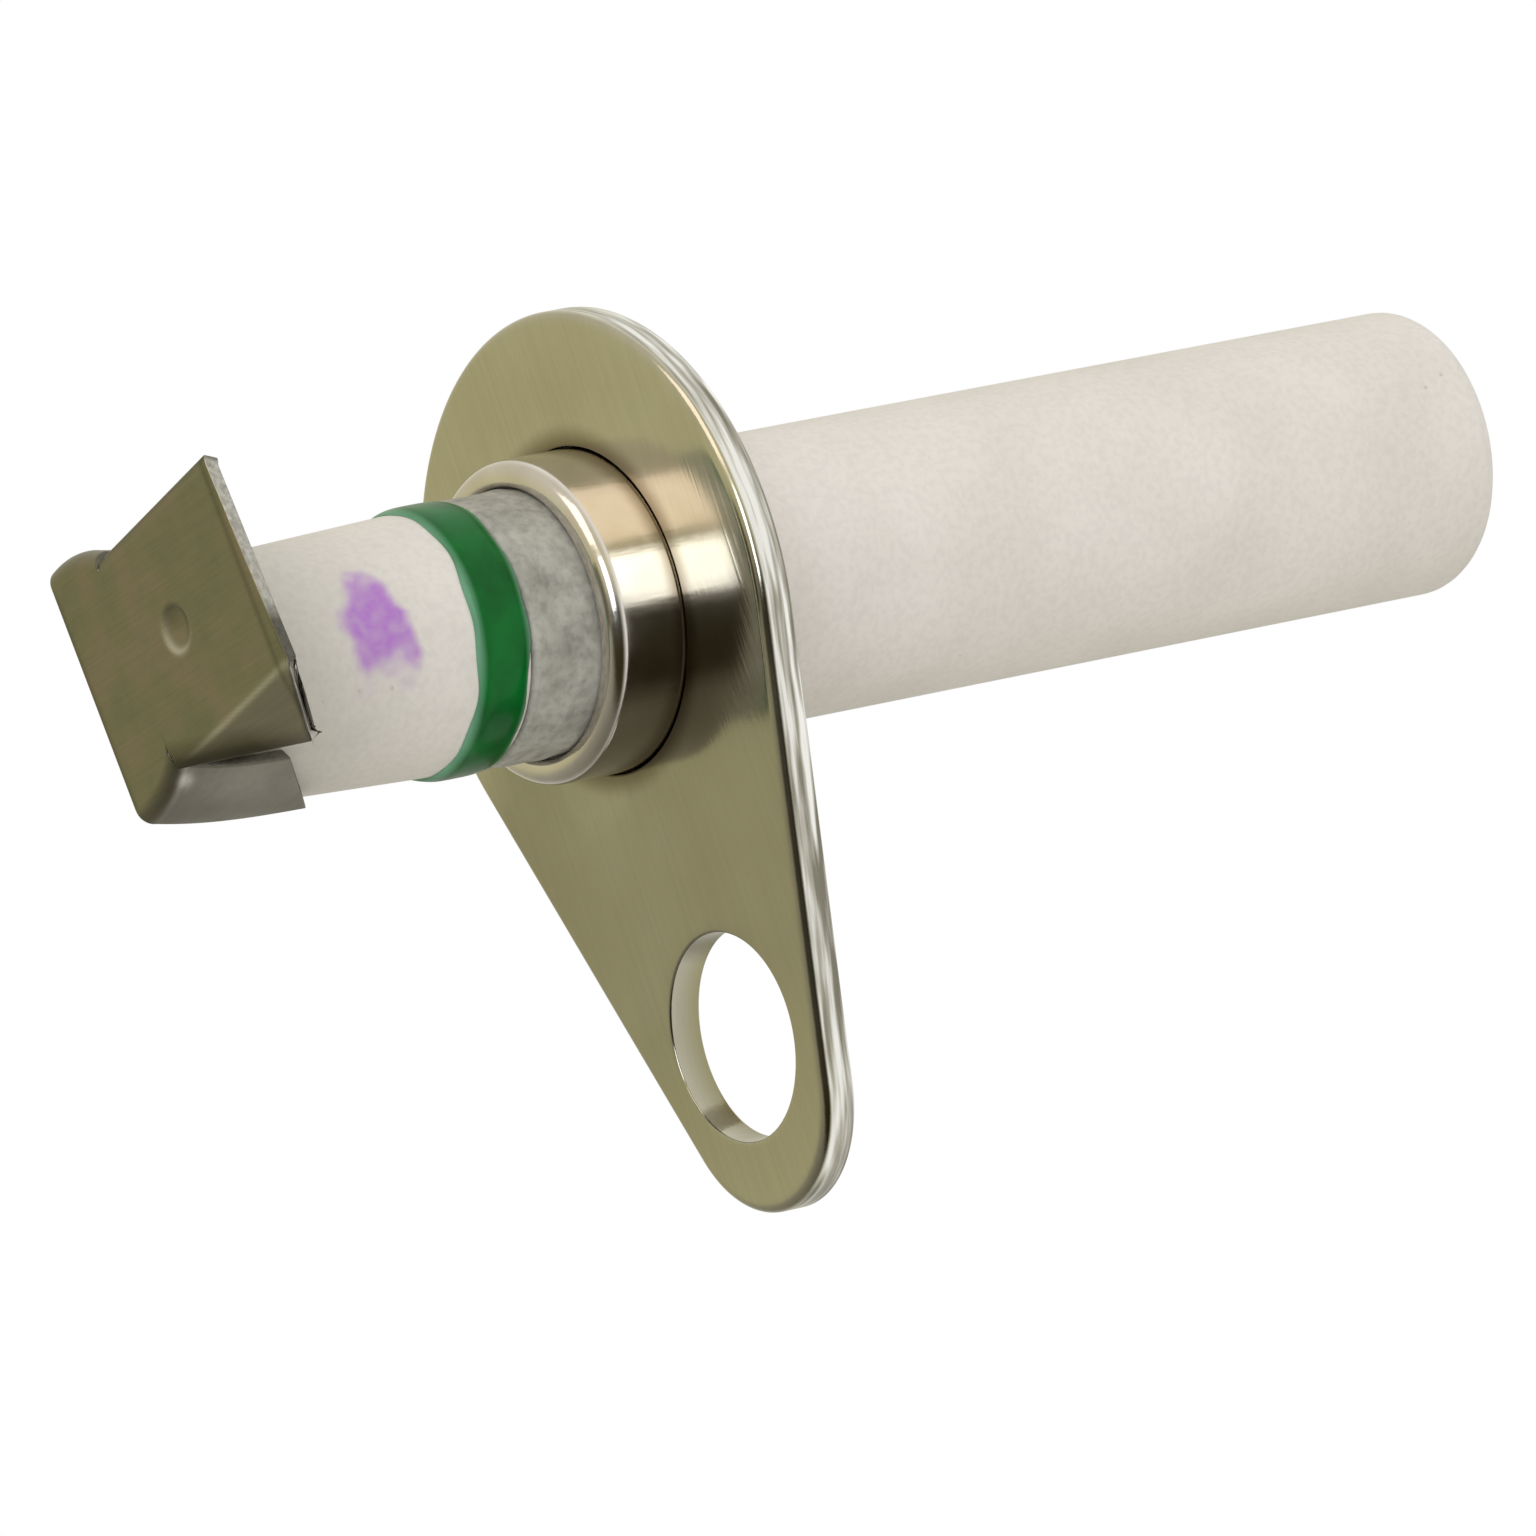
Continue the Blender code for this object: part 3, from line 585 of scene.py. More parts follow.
def split_ring(name, low_x, high_x, inner_r, outer_r, gap, edge):
    """A ring of oblong section carried round X from one side of its split to the other.

    The section is a rounded oblong. Its middle creeps along X by half the ring's free play, so that the
    two ends stand off each other, and the end sections are closed by a shrunken copy of themselves.
    """
    thickness = WASHER_FLATNESS * (high_x - low_x)
    corners = [(-thickness / 2.0, inner_r, edge), (-thickness / 2.0, outer_r, edge),
               (thickness / 2.0, outer_r, edge), (thickness / 2.0, inner_r, edge)]
    section = rounded(corners, 4)
    angle = math.pi / 2.0 + np.linspace(gap / 2.0, 2.0 * math.pi - gap / 2.0, WASHER_STEPS)
    play = (high_x - low_x) - thickness
    creep = (low_x + high_x) / 2.0 + play * (np.arange(WASHER_STEPS) / (WASHER_STEPS - 1.0) - 0.5)
    middle = section.mean(axis=0)
    shrink = np.ones(WASHER_STEPS)
    shrink[0] = shrink[-1] = 1e-6
    angle[0], angle[-1] = angle[1], angle[-2]
    across = middle + (section[None] - middle) * shrink[:, None, None]
    x = across[..., 0] + creep[:, None]
    points = np.stack([x, across[..., 1] * np.cos(angle)[:, None], across[..., 1] * np.sin(angle)[:, None]], axis=-1)
    return outward(grid_piece(name, points, False, True))


washer = split_ring("lock_washer_ring", washer_low.x, washer_high.x, WASHER_HOLE_R, washer_high.y,
                    WASHER_GAP_ANGLE, 0.08 * MM)

# Spring steel: hardened and blued to a dark grey, with a slight scale from the oil quench.
spring_steel, place = new_material("Oil-quenched spring steel")
scale = noise(spring_steel, place, 0.5, 4.0)
scale_colour = ramp(spring_steel, scale, [(0.3, 0x54565A), (0.7, 0x7C7F84)])
surface(spring_steel, {"Base Color": scale_colour, "Metallic": 1.0, "Roughness": 0.38})
finish_piece(washer, spring_steel, "lock_washer")


# ---------------------------------------------------------------- gasket and sealing sleeve
# A soft copper gasket under the insulator's shoulder, and a sleeve of grey cement pressed into the collar's
# mouth, which locks the insulator in it.

gasket_low, gasket_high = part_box("crush_gasket")
gasket_corners = [(gasket_low.x, WAIST_R + FIT, 0.1 * MM), (gasket_low.x, gasket_high.z, 0.15 * MM),
                  (gasket_high.x, gasket_high.z, 0.15 * MM), (gasket_high.x, WAIST_R + FIT, 0.1 * MM)]
gasket = turned("crush_gasket_ring", subdivided(rounded(gasket_corners), 0.3 * MM), 128)

# Soft copper: annealed, so dull rose with brown oxide clouds.
soft_copper, place = new_material("Annealed copper")
oxide = noise(soft_copper, place, 1.5, 4.0)
copper_colour = ramp(soft_copper, oxide, [(0.3, 0x8A4B34), (0.7, 0xC97B5A)])
surface(soft_copper, {"Base Color": copper_colour, "Metallic": 1.0, "Roughness": 0.4})
finish_piece(gasket, soft_copper, "crush_gasket")

sleeve_low, sleeve_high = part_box("sealing_sleeve")
SLEEVE_R = NOSE_ROOT_R + 0.13 * MM
FERRULE_LIP_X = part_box("ferrule")[0].x
FERRULE_LIP_WALL = 0.5 * MM
sleeve_hole_r = WAIST_R + FIT
sleeve_step_x = FERRULE_LIP_X + FERRULE_LIP_WALL + SEAT
sleeve_corners = [(sleeve_low.x, sleeve_hole_r, 0.05 * MM), (sleeve_low.x, SLEEVE_R, 0.18 * MM),
                  (sleeve_step_x, SLEEVE_R, 0.05 * MM), (sleeve_step_x, sleeve_high.z, 0.1 * MM),
                  (sleeve_high.x, sleeve_high.z, 0.1 * MM), (sleeve_high.x, sleeve_hole_r, 0.05 * MM)]


def trowelled(x, r, angle):
    """The outside is uneven as hand-pressed paste is: r gains lumps of a few hundredths of a millimetre."""
    outside = np.clip((r - sleeve_hole_r) / (0.3 * MM), 0.0, 1.0)
    shown = np.clip((sleeve_step_x - x) / (0.5 * MM), 0.0, 1.0) * outside
    off_seam = np.clip(np.minimum(angle, 2.0 * np.pi - angle) * 8.0, 0.0, 1.0)
    return x, r + shown * lumpy(x, r * angle, 0.035 * MM, 0.35 * MM) * off_seam


sleeve = turned("sealing_sleeve_cement", subdivided(rounded(sleeve_corners), 0.08 * MM), 256, trowelled)

# Sealing cement: cool grey, matt, with pits and grains that catch the light.
sealing, place = new_material("Pressed sealing cement")
clouds = noise(sealing, place, 1.2, 4.0)
sealing_colour = ramp(sealing, clouds, [(0.30, 0x97968E), (0.68, 0xB2B1A9)])
pits = noise(sealing, place, 0.3, 5.0)
pit_tone = ramp(sealing, pits, [(0.30, grey(0.80)), (0.58, grey(1.0))])
pitted = mix(sealing, 1.0, sealing_colour, pit_tone, "MULTIPLY")
surface(sealing, {"Base Color": pitted, "Normal": bump(sealing, pits, 0.04), "Roughness": 0.85})
finish_piece(sleeve, sealing, "sealing_sleeve")


# ---------------------------------------------------------------- colour band
# A bead of green enamel laid by brush round the nose's root and fired, so it is glossy, domed and not
# quite square to the electrode.

band_low, band_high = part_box("color_band")
BAND_LEAN = 0.2 * MM
BAND_WIDTH = 2.0 * MM
BAND_HEIGHT = 0.2 * MM
NOSE_SLOPE = 0.036         # how fast the nose's radius falls along its taper
band_middle_x = (band_low.x + band_high.x) / 2.0 - 0.05 * MM
band_inner_r = NOSE_ROOT_R + 0.01 * MM
along = np.linspace(-1.0, 1.0, 41)
bead = np.stack([along, np.sqrt(1.0 - along ** 4)], axis=1)
under = np.stack([along[::-1][1:-1], np.zeros(39)], axis=1)
band_profile = np.vstack([bead, under])


def brushed(x, r, angle):
    """The bead's middle leans by a sine of the angle, its edges wander, and its crown swells and thins.

    x comes in as the place across the band, -1 to 1, and r as the share of its height.
    """
    middle_x = band_middle_x + BAND_LEAN * np.sin(angle) + x * BAND_WIDTH / 2.0
    wander = 0.045 * MM * np.sin(5.0 * angle + 2.6 + 1.5 * x) + 0.04 * MM * np.sin(11.0 * angle + 2.0 - x)
    swell = 1.0 + 0.10 * np.sin(2.0 * angle + 0.6) + 0.05 * np.sin(7.0 * angle)
    nose_r = band_inner_r - NOSE_SLOPE * np.clip(NOSE_TAPER_START_X - middle_x, 0.0, 1.0)
    return middle_x + wander * np.abs(x), nose_r + r * swell * BAND_HEIGHT


def coordinates(mesh):
    """The mesh's vertices as rows of x, y, z."""
    flat = np.empty(len(mesh.vertices) * 3, np.float32)
    mesh.vertices.foreach_get("co", flat)
    return flat.reshape(-1, 3)


def set_field(mesh, label, values):
    """Keep a value at each vertex under a label, for a material to read."""
    mesh.attributes.new(label, "FLOAT", "POINT").data.foreach_set("value", values.astype(np.float32))


def read_field(material, label):
    """The value kept at each vertex under a label."""
    return add(material, "ShaderNodeAttribute", {"attribute_name": label}).outputs["Fac"]


band = turned("color_band_enamel", band_profile, 256, brushed)
band_points = coordinates(band.data)
band_angle = np.arctan2(band_points[:, 2], band_points[:, 1])
band_share = np.abs(band_points[:, 0] - band_middle_x - BAND_LEAN * np.sin(band_angle)) * 2.0 / BAND_WIDTH
# Paler towards the bead's edges: partly the enamel thinning, partly a painted highlight.
set_field(band.data, "thin_edge_and_sheen", np.clip((band_share - 0.72) / 0.32, 0.0, 1.0))

# Green enamel: a glaze coloured with chromium, deep green with a soft gloss, and paler at the bead's edges,
# partly where it thins out over the white body and partly as a painted highlight on its rounded edges.
enamel, place = new_material("Fired green enamel")
depth = noise(enamel, place, 1.4, 3.0)
green = ramp(enamel, depth, [(0.3, 0x004F19), (0.7, 0x006826)])
thinned_and_sheened = mix(enamel, product(enamel, read_field(enamel, "thin_edge_and_sheen"), 0.6), green, linear(0x8CBFA4))
surface(enamel, {"Base Color": thinned_and_sheened, "Normal": bump(enamel, depth, 0.015), "Roughness": 0.3,
                 "Specular IOR Level": 0.12, "Coat Weight": 0.12, "Coat Roughness": 0.12})
finish_piece(band, enamel, "color_band")


# ---------------------------------------------------------------- collar
# A drawn steel ferrule, polished and bright nickel plated. Its mouth is rolled in over the packing, and its
# flange is brazed to the back of the plate.

ferrule_low, ferrule_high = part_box("ferrule")
FERRULE_BORE_R = BARREL_R + FIT
FERRULE_R = FERRULE_BORE_R + 0.45 * MM
FLANGE_WALL = 0.45 * MM
LIP_BORE_R = SLEEVE_R + FIT
flange_x = ferrule_high.x - FLANGE_WALL
lip_inner_x = ferrule_low.x + FERRULE_LIP_WALL
ferrule_corners = [(ferrule_low.x, LIP_BORE_R, 0.2 * MM), (ferrule_low.x, FERRULE_R, 0.55 * MM),
                   (flange_x, FERRULE_R, 0.06 * MM), (flange_x, ferrule_high.z, 0.1 * MM),
                   (ferrule_high.x, ferrule_high.z, 0.2 * MM), (ferrule_high.x, FERRULE_BORE_R, 0.12 * MM),
                   (lip_inner_x, FERRULE_BORE_R, 0.2 * MM), (lip_inner_x, LIP_BORE_R, 0.12 * MM)]
collar = turned("ferrule_polished", subdivided(rounded(ferrule_corners, 12), 0.3 * MM), 256)

# Bright nickel over polished steel: a warm mirror, faintly hazed, with drawing lines along the axis.
polished, place = new_material("Polished nickel plate")
haze = noise(polished, place, 2.0, 4.0)
haze_tone = ramp(polished, haze, [(0.3, grey(0.12)), (0.7, grey(0.20))])
warm = ramp(polished, haze, [(0.3, 0xD8D0C6), (0.7, 0xE6E0D8)])
drawing = streaks(polished, place, (3.0, 0.35, 0.35), 2.0)
surface(polished, {"Base Color": warm, "Normal": bump(polished, drawing, 0.006), "Metallic": 1.0,
                   "Roughness": haze_tone})
finish_piece(collar, polished, "ferrule")


# ---------------------------------------------------------------- mounting plate
# A teardrop blanked from 1.2 mm steel sheet, nickel plated and left satin. Blanking rolls the front edges
# over and leaves the thickness bright.

plate_low, plate_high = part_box("mounting_plate")
PLATE_HEAD_R = plate_high.z
PLATE_TOE_R = 4.2 * MM
PLATE_LEG = -plate_low.z - PLATE_TOE_R
SCREW_HOLE_R = 3.4 * MM
SCREW_HOLE_Z = -PLATE_LEG + 1.6 * MM
PLATE_ROLL = 0.34 * MM         # how far in from an edge the blanked front face rolls over
HOLE_ROLL = 0.10 * MM
PLATE_BURR_R = 0.12 * MM
HEAD_STEPS = 145
SIDE_STEPS = 70
TOE_STEPS = 73
PLATE_SPLIT = 23               # the step down each straight side where the two fans of faces meet
CUT_STEPS = 40                 # steps across the plate along that line
collar_hole_r = FERRULE_R + SEAT


def teardrop(head_steps, side_steps, toe_steps):
    """The outline in order round the axis as (y, z): head arc, straight side, toe arc, straight side."""
    slope = math.asin((PLATE_HEAD_R - PLATE_TOE_R) / PLATE_LEG)
    head_angle = np.linspace(-slope, math.pi + slope, head_steps)
    toe_angle = np.linspace(math.pi + slope, 2.0 * math.pi - slope, toe_steps)
    head = PLATE_HEAD_R * np.stack([np.cos(head_angle), np.sin(head_angle)], axis=1)
    toe = PLATE_TOE_R * np.stack([np.cos(toe_angle), np.sin(toe_angle)], axis=1) + (0.0, -PLATE_LEG)
    share = np.linspace(0.0, 1.0, side_steps)[1:-1, None]
    left = head[-1] + (toe[0] - head[-1]) * share
    right = toe[-1] + (head[0] - toe[-1]) * share
    return np.vstack([head, left, toe, right])


def rim(loop, normals, roll, steps=8):
    """The plate's edge carried round a loop: front roll, thickness, back edge, as rows of (x, y, z).

    The front roll is a quarter of an ellipse and the back edge a quarter circle. Rows run from the front
    face to the back face, moved in from the loop against its normals.
    """
    turn = np.linspace(0.0, math.pi / 2.0, steps)
    x = np.concatenate([plate_low.x + 0.85 * roll * (1.0 - np.cos(turn)),
                        plate_high.x - PLATE_BURR_R * (1.0 - np.sin(turn))])
    inset = np.concatenate([roll * (1.0 - np.sin(turn)), PLATE_BURR_R * (1.0 - np.cos(turn))])
    flat = loop[None] - normals[None] * inset[:, None, None]
    return np.concatenate([np.broadcast_to(x[:, None, None], flat.shape[:2] + (1,)), flat], axis=-1)


def fan(hole_rim, outer_rim, is_outline, rows=14):
    """Grid from a hole's rim out to the outline: hole rim, front face, outline's rim and back face in turn.

    The columns follow the outline's points and, across the plate, the points of the line where two fans
    meet; there the rim has no thickness, so its quads are left out.
    """
    share = np.linspace(0.0, 1.0, rows)[1:-1, None, None]
    front = hole_rim[0] + (outer_rim[0] - hole_rim[0]) * share
    rear = outer_rim[-1] + (hole_rim[-1] - outer_rim[-1]) * share
    points = np.concatenate([hole_rim[::-1], front, outer_rim, rear])
    count = points.shape[0]
    outer_rows = np.zeros(count, bool)
    outer_rows[len(hole_rim) + rows - 1:len(hole_rim) + rows - 3 + len(outer_rim)] = True
    mask = is_outline[None] | ~outer_rows[:, None]
    return points, mask


outline = teardrop(HEAD_STEPS, SIDE_STEPS, TOE_STEPS)
tangent = np.roll(outline, -1, axis=0) - np.roll(outline, 1, axis=0)
outline_normals = np.stack([tangent[:, 1], -tangent[:, 0]], axis=1)
outline_normals = outline_normals / np.linalg.norm(outline_normals, axis=1)[:, None]
outline_rim = rim(outline, outline_normals, PLATE_ROLL)

# A straight side has two steps fewer than it was given, because its ends belong to the arcs.
left_split = HEAD_STEPS + PLATE_SPLIT
right_split = HEAD_STEPS + (SIDE_STEPS - 2) + TOE_STEPS + (SIDE_STEPS - 3) - PLATE_SPLIT
share = np.linspace(0.0, 1.0, CUT_STEPS)[None, 1:-1, None]
fans = []
for hole_r, hole_z, order in ((collar_hole_r, 0.0, np.arange(right_split - len(outline), left_split + 1)),
                              (SCREW_HOLE_R, SCREW_HOLE_Z, np.arange(left_split, right_split + 1))):
    edge_rim = outline_rim[:, order]
    start, end = edge_rim[:, -1:], edge_rim[:, :1]
    outer = np.concatenate([edge_rim, start + (end - start) * share], axis=1)
    seen_from = outer[len(outer) // 2 - 1, :, 1:] - (0.0, hole_z)
    spoke = seen_from / np.linalg.norm(seen_from, axis=1)[:, None]
    hole = rim(hole_r * spoke + (0.0, hole_z), -spoke, HOLE_ROLL)
    is_outline = np.arange(outer.shape[1]) < len(order)
    points, mask = fan(hole, outer, is_outline)
    fans.append(grid_piece("plate_fan", points, True, True, mask))

bm = bmesh.new()
for half_plate in fans:
    bm.from_mesh(half_plate.data)
    bpy.data.objects.remove(half_plate)
plate_mesh = bpy.data.meshes.new("mounting_plate_blank")
bmesh.ops.remove_doubles(bm, verts=bm.verts, dist=1e-7)
bm.to_mesh(plate_mesh)
bm.free()
plate = outward(new_object("mounting_plate_blank", plate_mesh))

# The thickness shows two finishes: tumbled bright round the outline, and torn dull inside the holes, where the
# walls are darkened further as painted shade.
plate_x, plate_y, plate_z = coordinates(plate_mesh).T
behind_roll = np.clip((plate_x - plate_low.x - 0.7 * PLATE_ROLL) / (0.2 * PLATE_ROLL), 0.0, 1.0)
before_back = np.clip((plate_high.x - 0.2 * PLATE_BURR_R - plate_x) / (0.4 * PLATE_BURR_R), 0.0, 1.0)
in_thickness = behind_roll * before_back
near_hole = np.minimum(np.hypot(plate_y, plate_z) - collar_hole_r,
                       np.hypot(plate_y, plate_z - SCREW_HOLE_Z) - SCREW_HOLE_R) < 0.6 * MM
set_field(plate_mesh, "tumbled", in_thickness * ~near_hole)
set_field(plate_mesh, "torn_and_shaded", in_thickness * near_hole)

# Satin nickel on rolled sheet: olive-beige, fine rolling lines along the leg, darker across the middle of the leg,
# and a ring of painted shade round the collar's foot.
satin, place = new_material("Satin nickel plate")
cloud = noise(satin, place, 5.0, 4.0)
plate_colour = ramp(satin, cloud, [(0.30, 0xC0BBA6), (0.70, 0xCDC9B6)])
# Darker across the middle of the leg, brightest at its top and lighter again at its toe, mottled by the clouds.
leg_height = add(satin, "ShaderNodeSeparateXYZ", inputs={"Vector": place}).outputs["Z"]
leg_share = spread(satin, leg_height, plate_low.z, plate_high.z, curve="LINEAR")
leg_height_mottle = add(satin, "ShaderNodeMath", {"operation": "MULTIPLY_ADD"},
               {0: cloud, 1: 0.3, 2: leg_share})
leg_tone = ramp(satin, leg_height_mottle.outputs["Value"],
                    [(0.15, grey(0.95)), (0.38, grey(0.74)), (0.66, grey(0.72)), (0.88, grey(1.0))])
leg_toned = mix(satin, 1.0, plate_colour, leg_tone, "MULTIPLY")
rolling = streaks(satin, place, (0.2, 0.2, 8.0), 3.0)
rolling_tone = ramp(satin, rolling, [(0.30, grey(0.95)), (0.60, grey(1.0))])
plated = mix(satin, 1.0, leg_toned, rolling_tone, "MULTIPLY")
# Painted shade: a dark ring on the plate round the collar's foot, where the two meet.
flat_place = add(satin, "ShaderNodeMapping", inputs={"Vector": place, "Scale": (0.0, 1.0, 1.0)})
from_axis = add(satin, "ShaderNodeVectorMath", {"operation": "LENGTH"},
                {0: flat_place.outputs["Vector"]})
collar_shade = spread(satin, from_axis.outputs["Value"], collar_hole_r, collar_hole_r + 0.9 * MM, 0.75, 0.0)
collar_shaded = mix(satin, collar_shade, plated, linear(0x8F8066), "MULTIPLY")
shear_streaks = streaks(satin, place, (0.28, 4.0, 4.0), 2.0)
streak_colour = ramp(satin, shear_streaks,
                     [(0.36, 0x7E7A6C), (0.48, 0xB9B6AB), (0.60, 0xF2F1EC)])
bright_edge = mix(satin, read_field(satin, "tumbled"), collar_shaded, streak_colour)
# The hole walls: torn steel, darkened as painted shade.
edged = mix(satin, read_field(satin, "torn_and_shaded"), bright_edge, linear(0x96906F))
plate_haze = ramp(satin, cloud, [(0.3, grey(0.12)), (0.7, grey(0.19))])
surface(satin, {"Base Color": edged, "Normal": bump(satin, rolling, 0.006), "Metallic": 1.0,
                "Roughness": plate_haze})
finish_piece(plate, satin, "mounting_plate")


# ---------------------------------------------------------------- spark cap
# Stainless sheet, 0.5 mm thick, blanked and folded: a flag with two prongs that hug the nose, a bent wing at
# its free end and the dimple of the spot weld. Heat has turned it brown.

CAP_SHEET = 0.5 * MM
CAP_PITCH = math.radians(1.1)
CAP_LIFT = 0.29 * MM
CAP_SPREAD = 0.06 * MM
CAP_NEAR = -10.4 * MM
CAP_SKEW = 0.15 * MM
CAP_PRONG_NEAR = -2.5 * MM
CAP_PRONG_FAR = 0.4 * MM
CAP_RELIEF = 0.15 * MM
CAP_TOP_EDGE_DROP = 1.08 * MM
CAP_BOTTOM_EDGE_DROP = 0.58 * MM
CAP_BEND_R = 0.56 * MM
CAP_PRONG_LENGTH = 6.05 * MM
CAP_PRONG_SLANT = 1.8 * MM
CAP_WING_DEPTH = 2.4 * MM
CAP_WING_INSET = 0.9 * MM
CAP_WING_BEND = math.radians(9.0)
CAP_DIMPLE_ACROSS = -5.45 * MM
CAP_DIMPLE_R = 0.78 * MM
CAP_DIMPLE_DEPTH = 0.22 * MM
CAP_ROLL = 0.10 * MM           # how far blanking rolls the sheet's edges back
CAP_ROLL_REACH = 0.45 * MM
cap_face_x = NOSE_X - 3.1 * MM
cap_prong_n = NOSE_TIP_R + 0.15 * MM + CAP_SHEET
cap_top = CAP_LIFT - CAP_SPREAD
cap_bottom = -CAP_LIFT - CAP_SPREAD
top_edge_n = cap_prong_n + cap_top - CAP_TOP_EDGE_DROP
bottom_edge_n = cap_prong_n + cap_bottom - CAP_BOTTOM_EDGE_DROP
FLAT_ROWS = 97
BEND_ROWS = 11
PRONG_ROWS = 56
FOLDED_ROWS = BEND_ROWS + PRONG_ROWS - 1
LAST_ROW_GAP = 0.05 * MM       # from the flag's last row to the bend's first

wing_root = CAP_PRONG_NEAR - CAP_RELIEF
flag_columns = np.linspace(CAP_NEAR, wing_root, 80)
prong_columns = np.linspace(CAP_PRONG_NEAR, CAP_PRONG_FAR, 32)
across = np.concatenate([flag_columns, prong_columns])[:, None]
on_prong = across >= CAP_PRONG_NEAR - 1e-9
round_n = np.sqrt(cap_prong_n ** 2 - np.clip(across, CAP_PRONG_NEAR, CAP_PRONG_FAR) ** 2)
wing_tip = CAP_NEAR + CAP_WING_INSET
wing = CAP_WING_DEPTH * np.clip(np.minimum((across - CAP_NEAR) / CAP_WING_INSET,
                                           (wing_root - across) / (wing_root - wing_tip)), 0.0, 1.0)


def prong(offset, sign):
    """Rows out along one prong, from its bend's start: the bend's quarter circle, then the reach to its end.

    n is the round nose's height plus an offset that dies away as the cube of what is left of the reach.
    """
    turn = np.linspace(0.0, math.pi / 2.0, BEND_ROWS)
    from_far = (CAP_PRONG_FAR - across) / (CAP_PRONG_FAR - CAP_PRONG_NEAR)
    reach = CAP_PRONG_LENGTH - CAP_BEND_R - CAP_PRONG_SLANT * from_far
    share = np.linspace(0.0, 1.0, PRONG_ROWS)[1:]
    x = np.concatenate([cap_face_x + CAP_BEND_R * (1.0 - np.cos(turn)) + 0.0 * across,
                        cap_face_x + CAP_BEND_R + reach * share], axis=1)
    n = np.concatenate([round_n + offset - CAP_BEND_R * (1.0 - np.sin(turn)),
                        round_n + offset * (1.0 - share) ** 3], axis=1)
    return x, sign * n


top_x, top_n = prong(cap_top, 1.0)
low_x, low_n = prong(cap_bottom, -1.0)
flat_top = np.where(on_prong, np.minimum(top_edge_n, top_n[:, :1] - LAST_ROW_GAP), top_edge_n)
flat_low = np.where(on_prong, np.maximum(-bottom_edge_n, low_n[:, :1] + LAST_ROW_GAP), -bottom_edge_n - wing)
share = np.linspace(0.0, 1.0, FLAT_ROWS)
flat_n = flat_low + (flat_top - flat_low) * share
below = np.clip(-bottom_edge_n - flat_n, 0.0, None)
crease = np.where(on_prong, 0.0, below ** 2 / (below + 0.12 * MM) * math.tan(CAP_WING_BEND))
to_root = np.clip((wing_root - across) / (wing_root - CAP_NEAR), 0.0, 1.0)
flat_s = across + CAP_SKEW * np.clip(flat_n / top_edge_n, -1.0, 1.0) * to_root
to_edge = np.minimum(flat_s - CAP_NEAR + CAP_SKEW,
                     np.minimum(top_edge_n - flat_n, flat_n + bottom_edge_n + wing))
to_edge = np.where(on_prong, 1.0, to_edge)
rollover = CAP_ROLL * np.clip(1.0 - to_edge / CAP_ROLL_REACH, 0.0, 1.0) ** 2
from_dimple = np.hypot(flat_s - CAP_DIMPLE_ACROSS, flat_n) / CAP_DIMPLE_R
dimple = CAP_DIMPLE_DEPTH * np.clip(1.0 - from_dimple ** 2, 0.0, 1.0) ** 0.8
flat_x = cap_face_x + crease + rollover + dimple

rows_x = np.concatenate([low_x[:, ::-1], flat_x, top_x], axis=1)
rows_n = np.concatenate([low_n[:, ::-1], flat_n, top_n], axis=1)
rows_s = np.concatenate([across + 0.0 * low_x, flat_s, across + 0.0 * top_x], axis=1)
pivot_x = cap_face_x + CAP_PRONG_LENGTH
lean_x = pivot_x + (rows_x - pivot_x) * math.cos(CAP_PITCH) + rows_n * math.sin(CAP_PITCH)
lean_n = rows_n * math.cos(CAP_PITCH) - (rows_x - pivot_x) * math.sin(CAP_PITCH)
cap_points = np.stack([lean_x, rows_s * math.cos(CAP_TILT) - lean_n * math.sin(CAP_TILT),
                       rows_s * math.sin(CAP_TILT) + lean_n * math.cos(CAP_TILT)], axis=-1)
is_flat = np.zeros(rows_x.shape[1], bool)
is_flat[FOLDED_ROWS:FOLDED_ROWS + FLAT_ROWS] = True
cap_mask = is_flat[None] | on_prong
cap = grid_piece("spark_cap_folded", cap_points, False, False, cap_mask)

# How each point of the sheet is coloured, 0 to 1: a painted highlight along the wing's crease and at the lower
# prong's bend, and bare weld metal round the dimple, brighter on one side as a painted highlight; a paler
# painted sheen over the wing and the prongs; darker along its edges, with painted shade under the wing, on the
# prongs' near edges and in the top relief nick.
# Painted highlight: a bright line along the wing's crease.
crease_highlight = np.exp(-((flat_n + bottom_edge_n + 0.02 * MM) / (0.10 * MM)) ** 2) * (across < wing_root)
# Bare weld metal round the dimple, brighter towards one side as a painted highlight.
weld_ring_and_highlight = np.exp(-((from_dimple - 0.95) / 0.16) ** 2) * (0.35 + 0.65 * (flat_s - CAP_DIMPLE_ACROSS - flat_n)
                                                           / (CAP_DIMPLE_R * 1.4))
flat_bare_and_highlight = np.clip(0.6 * crease_highlight + 0.8 * weld_ring_and_highlight, 0.0, 1.0)
near_line = np.exp(-((flat_s - CAP_NEAR - 0.38 * MM) / (0.13 * MM)) ** 2)
rim_gap = np.minimum(np.where(on_prong, 1.0, top_edge_n - flat_n), CAP_PRONG_FAR - across)
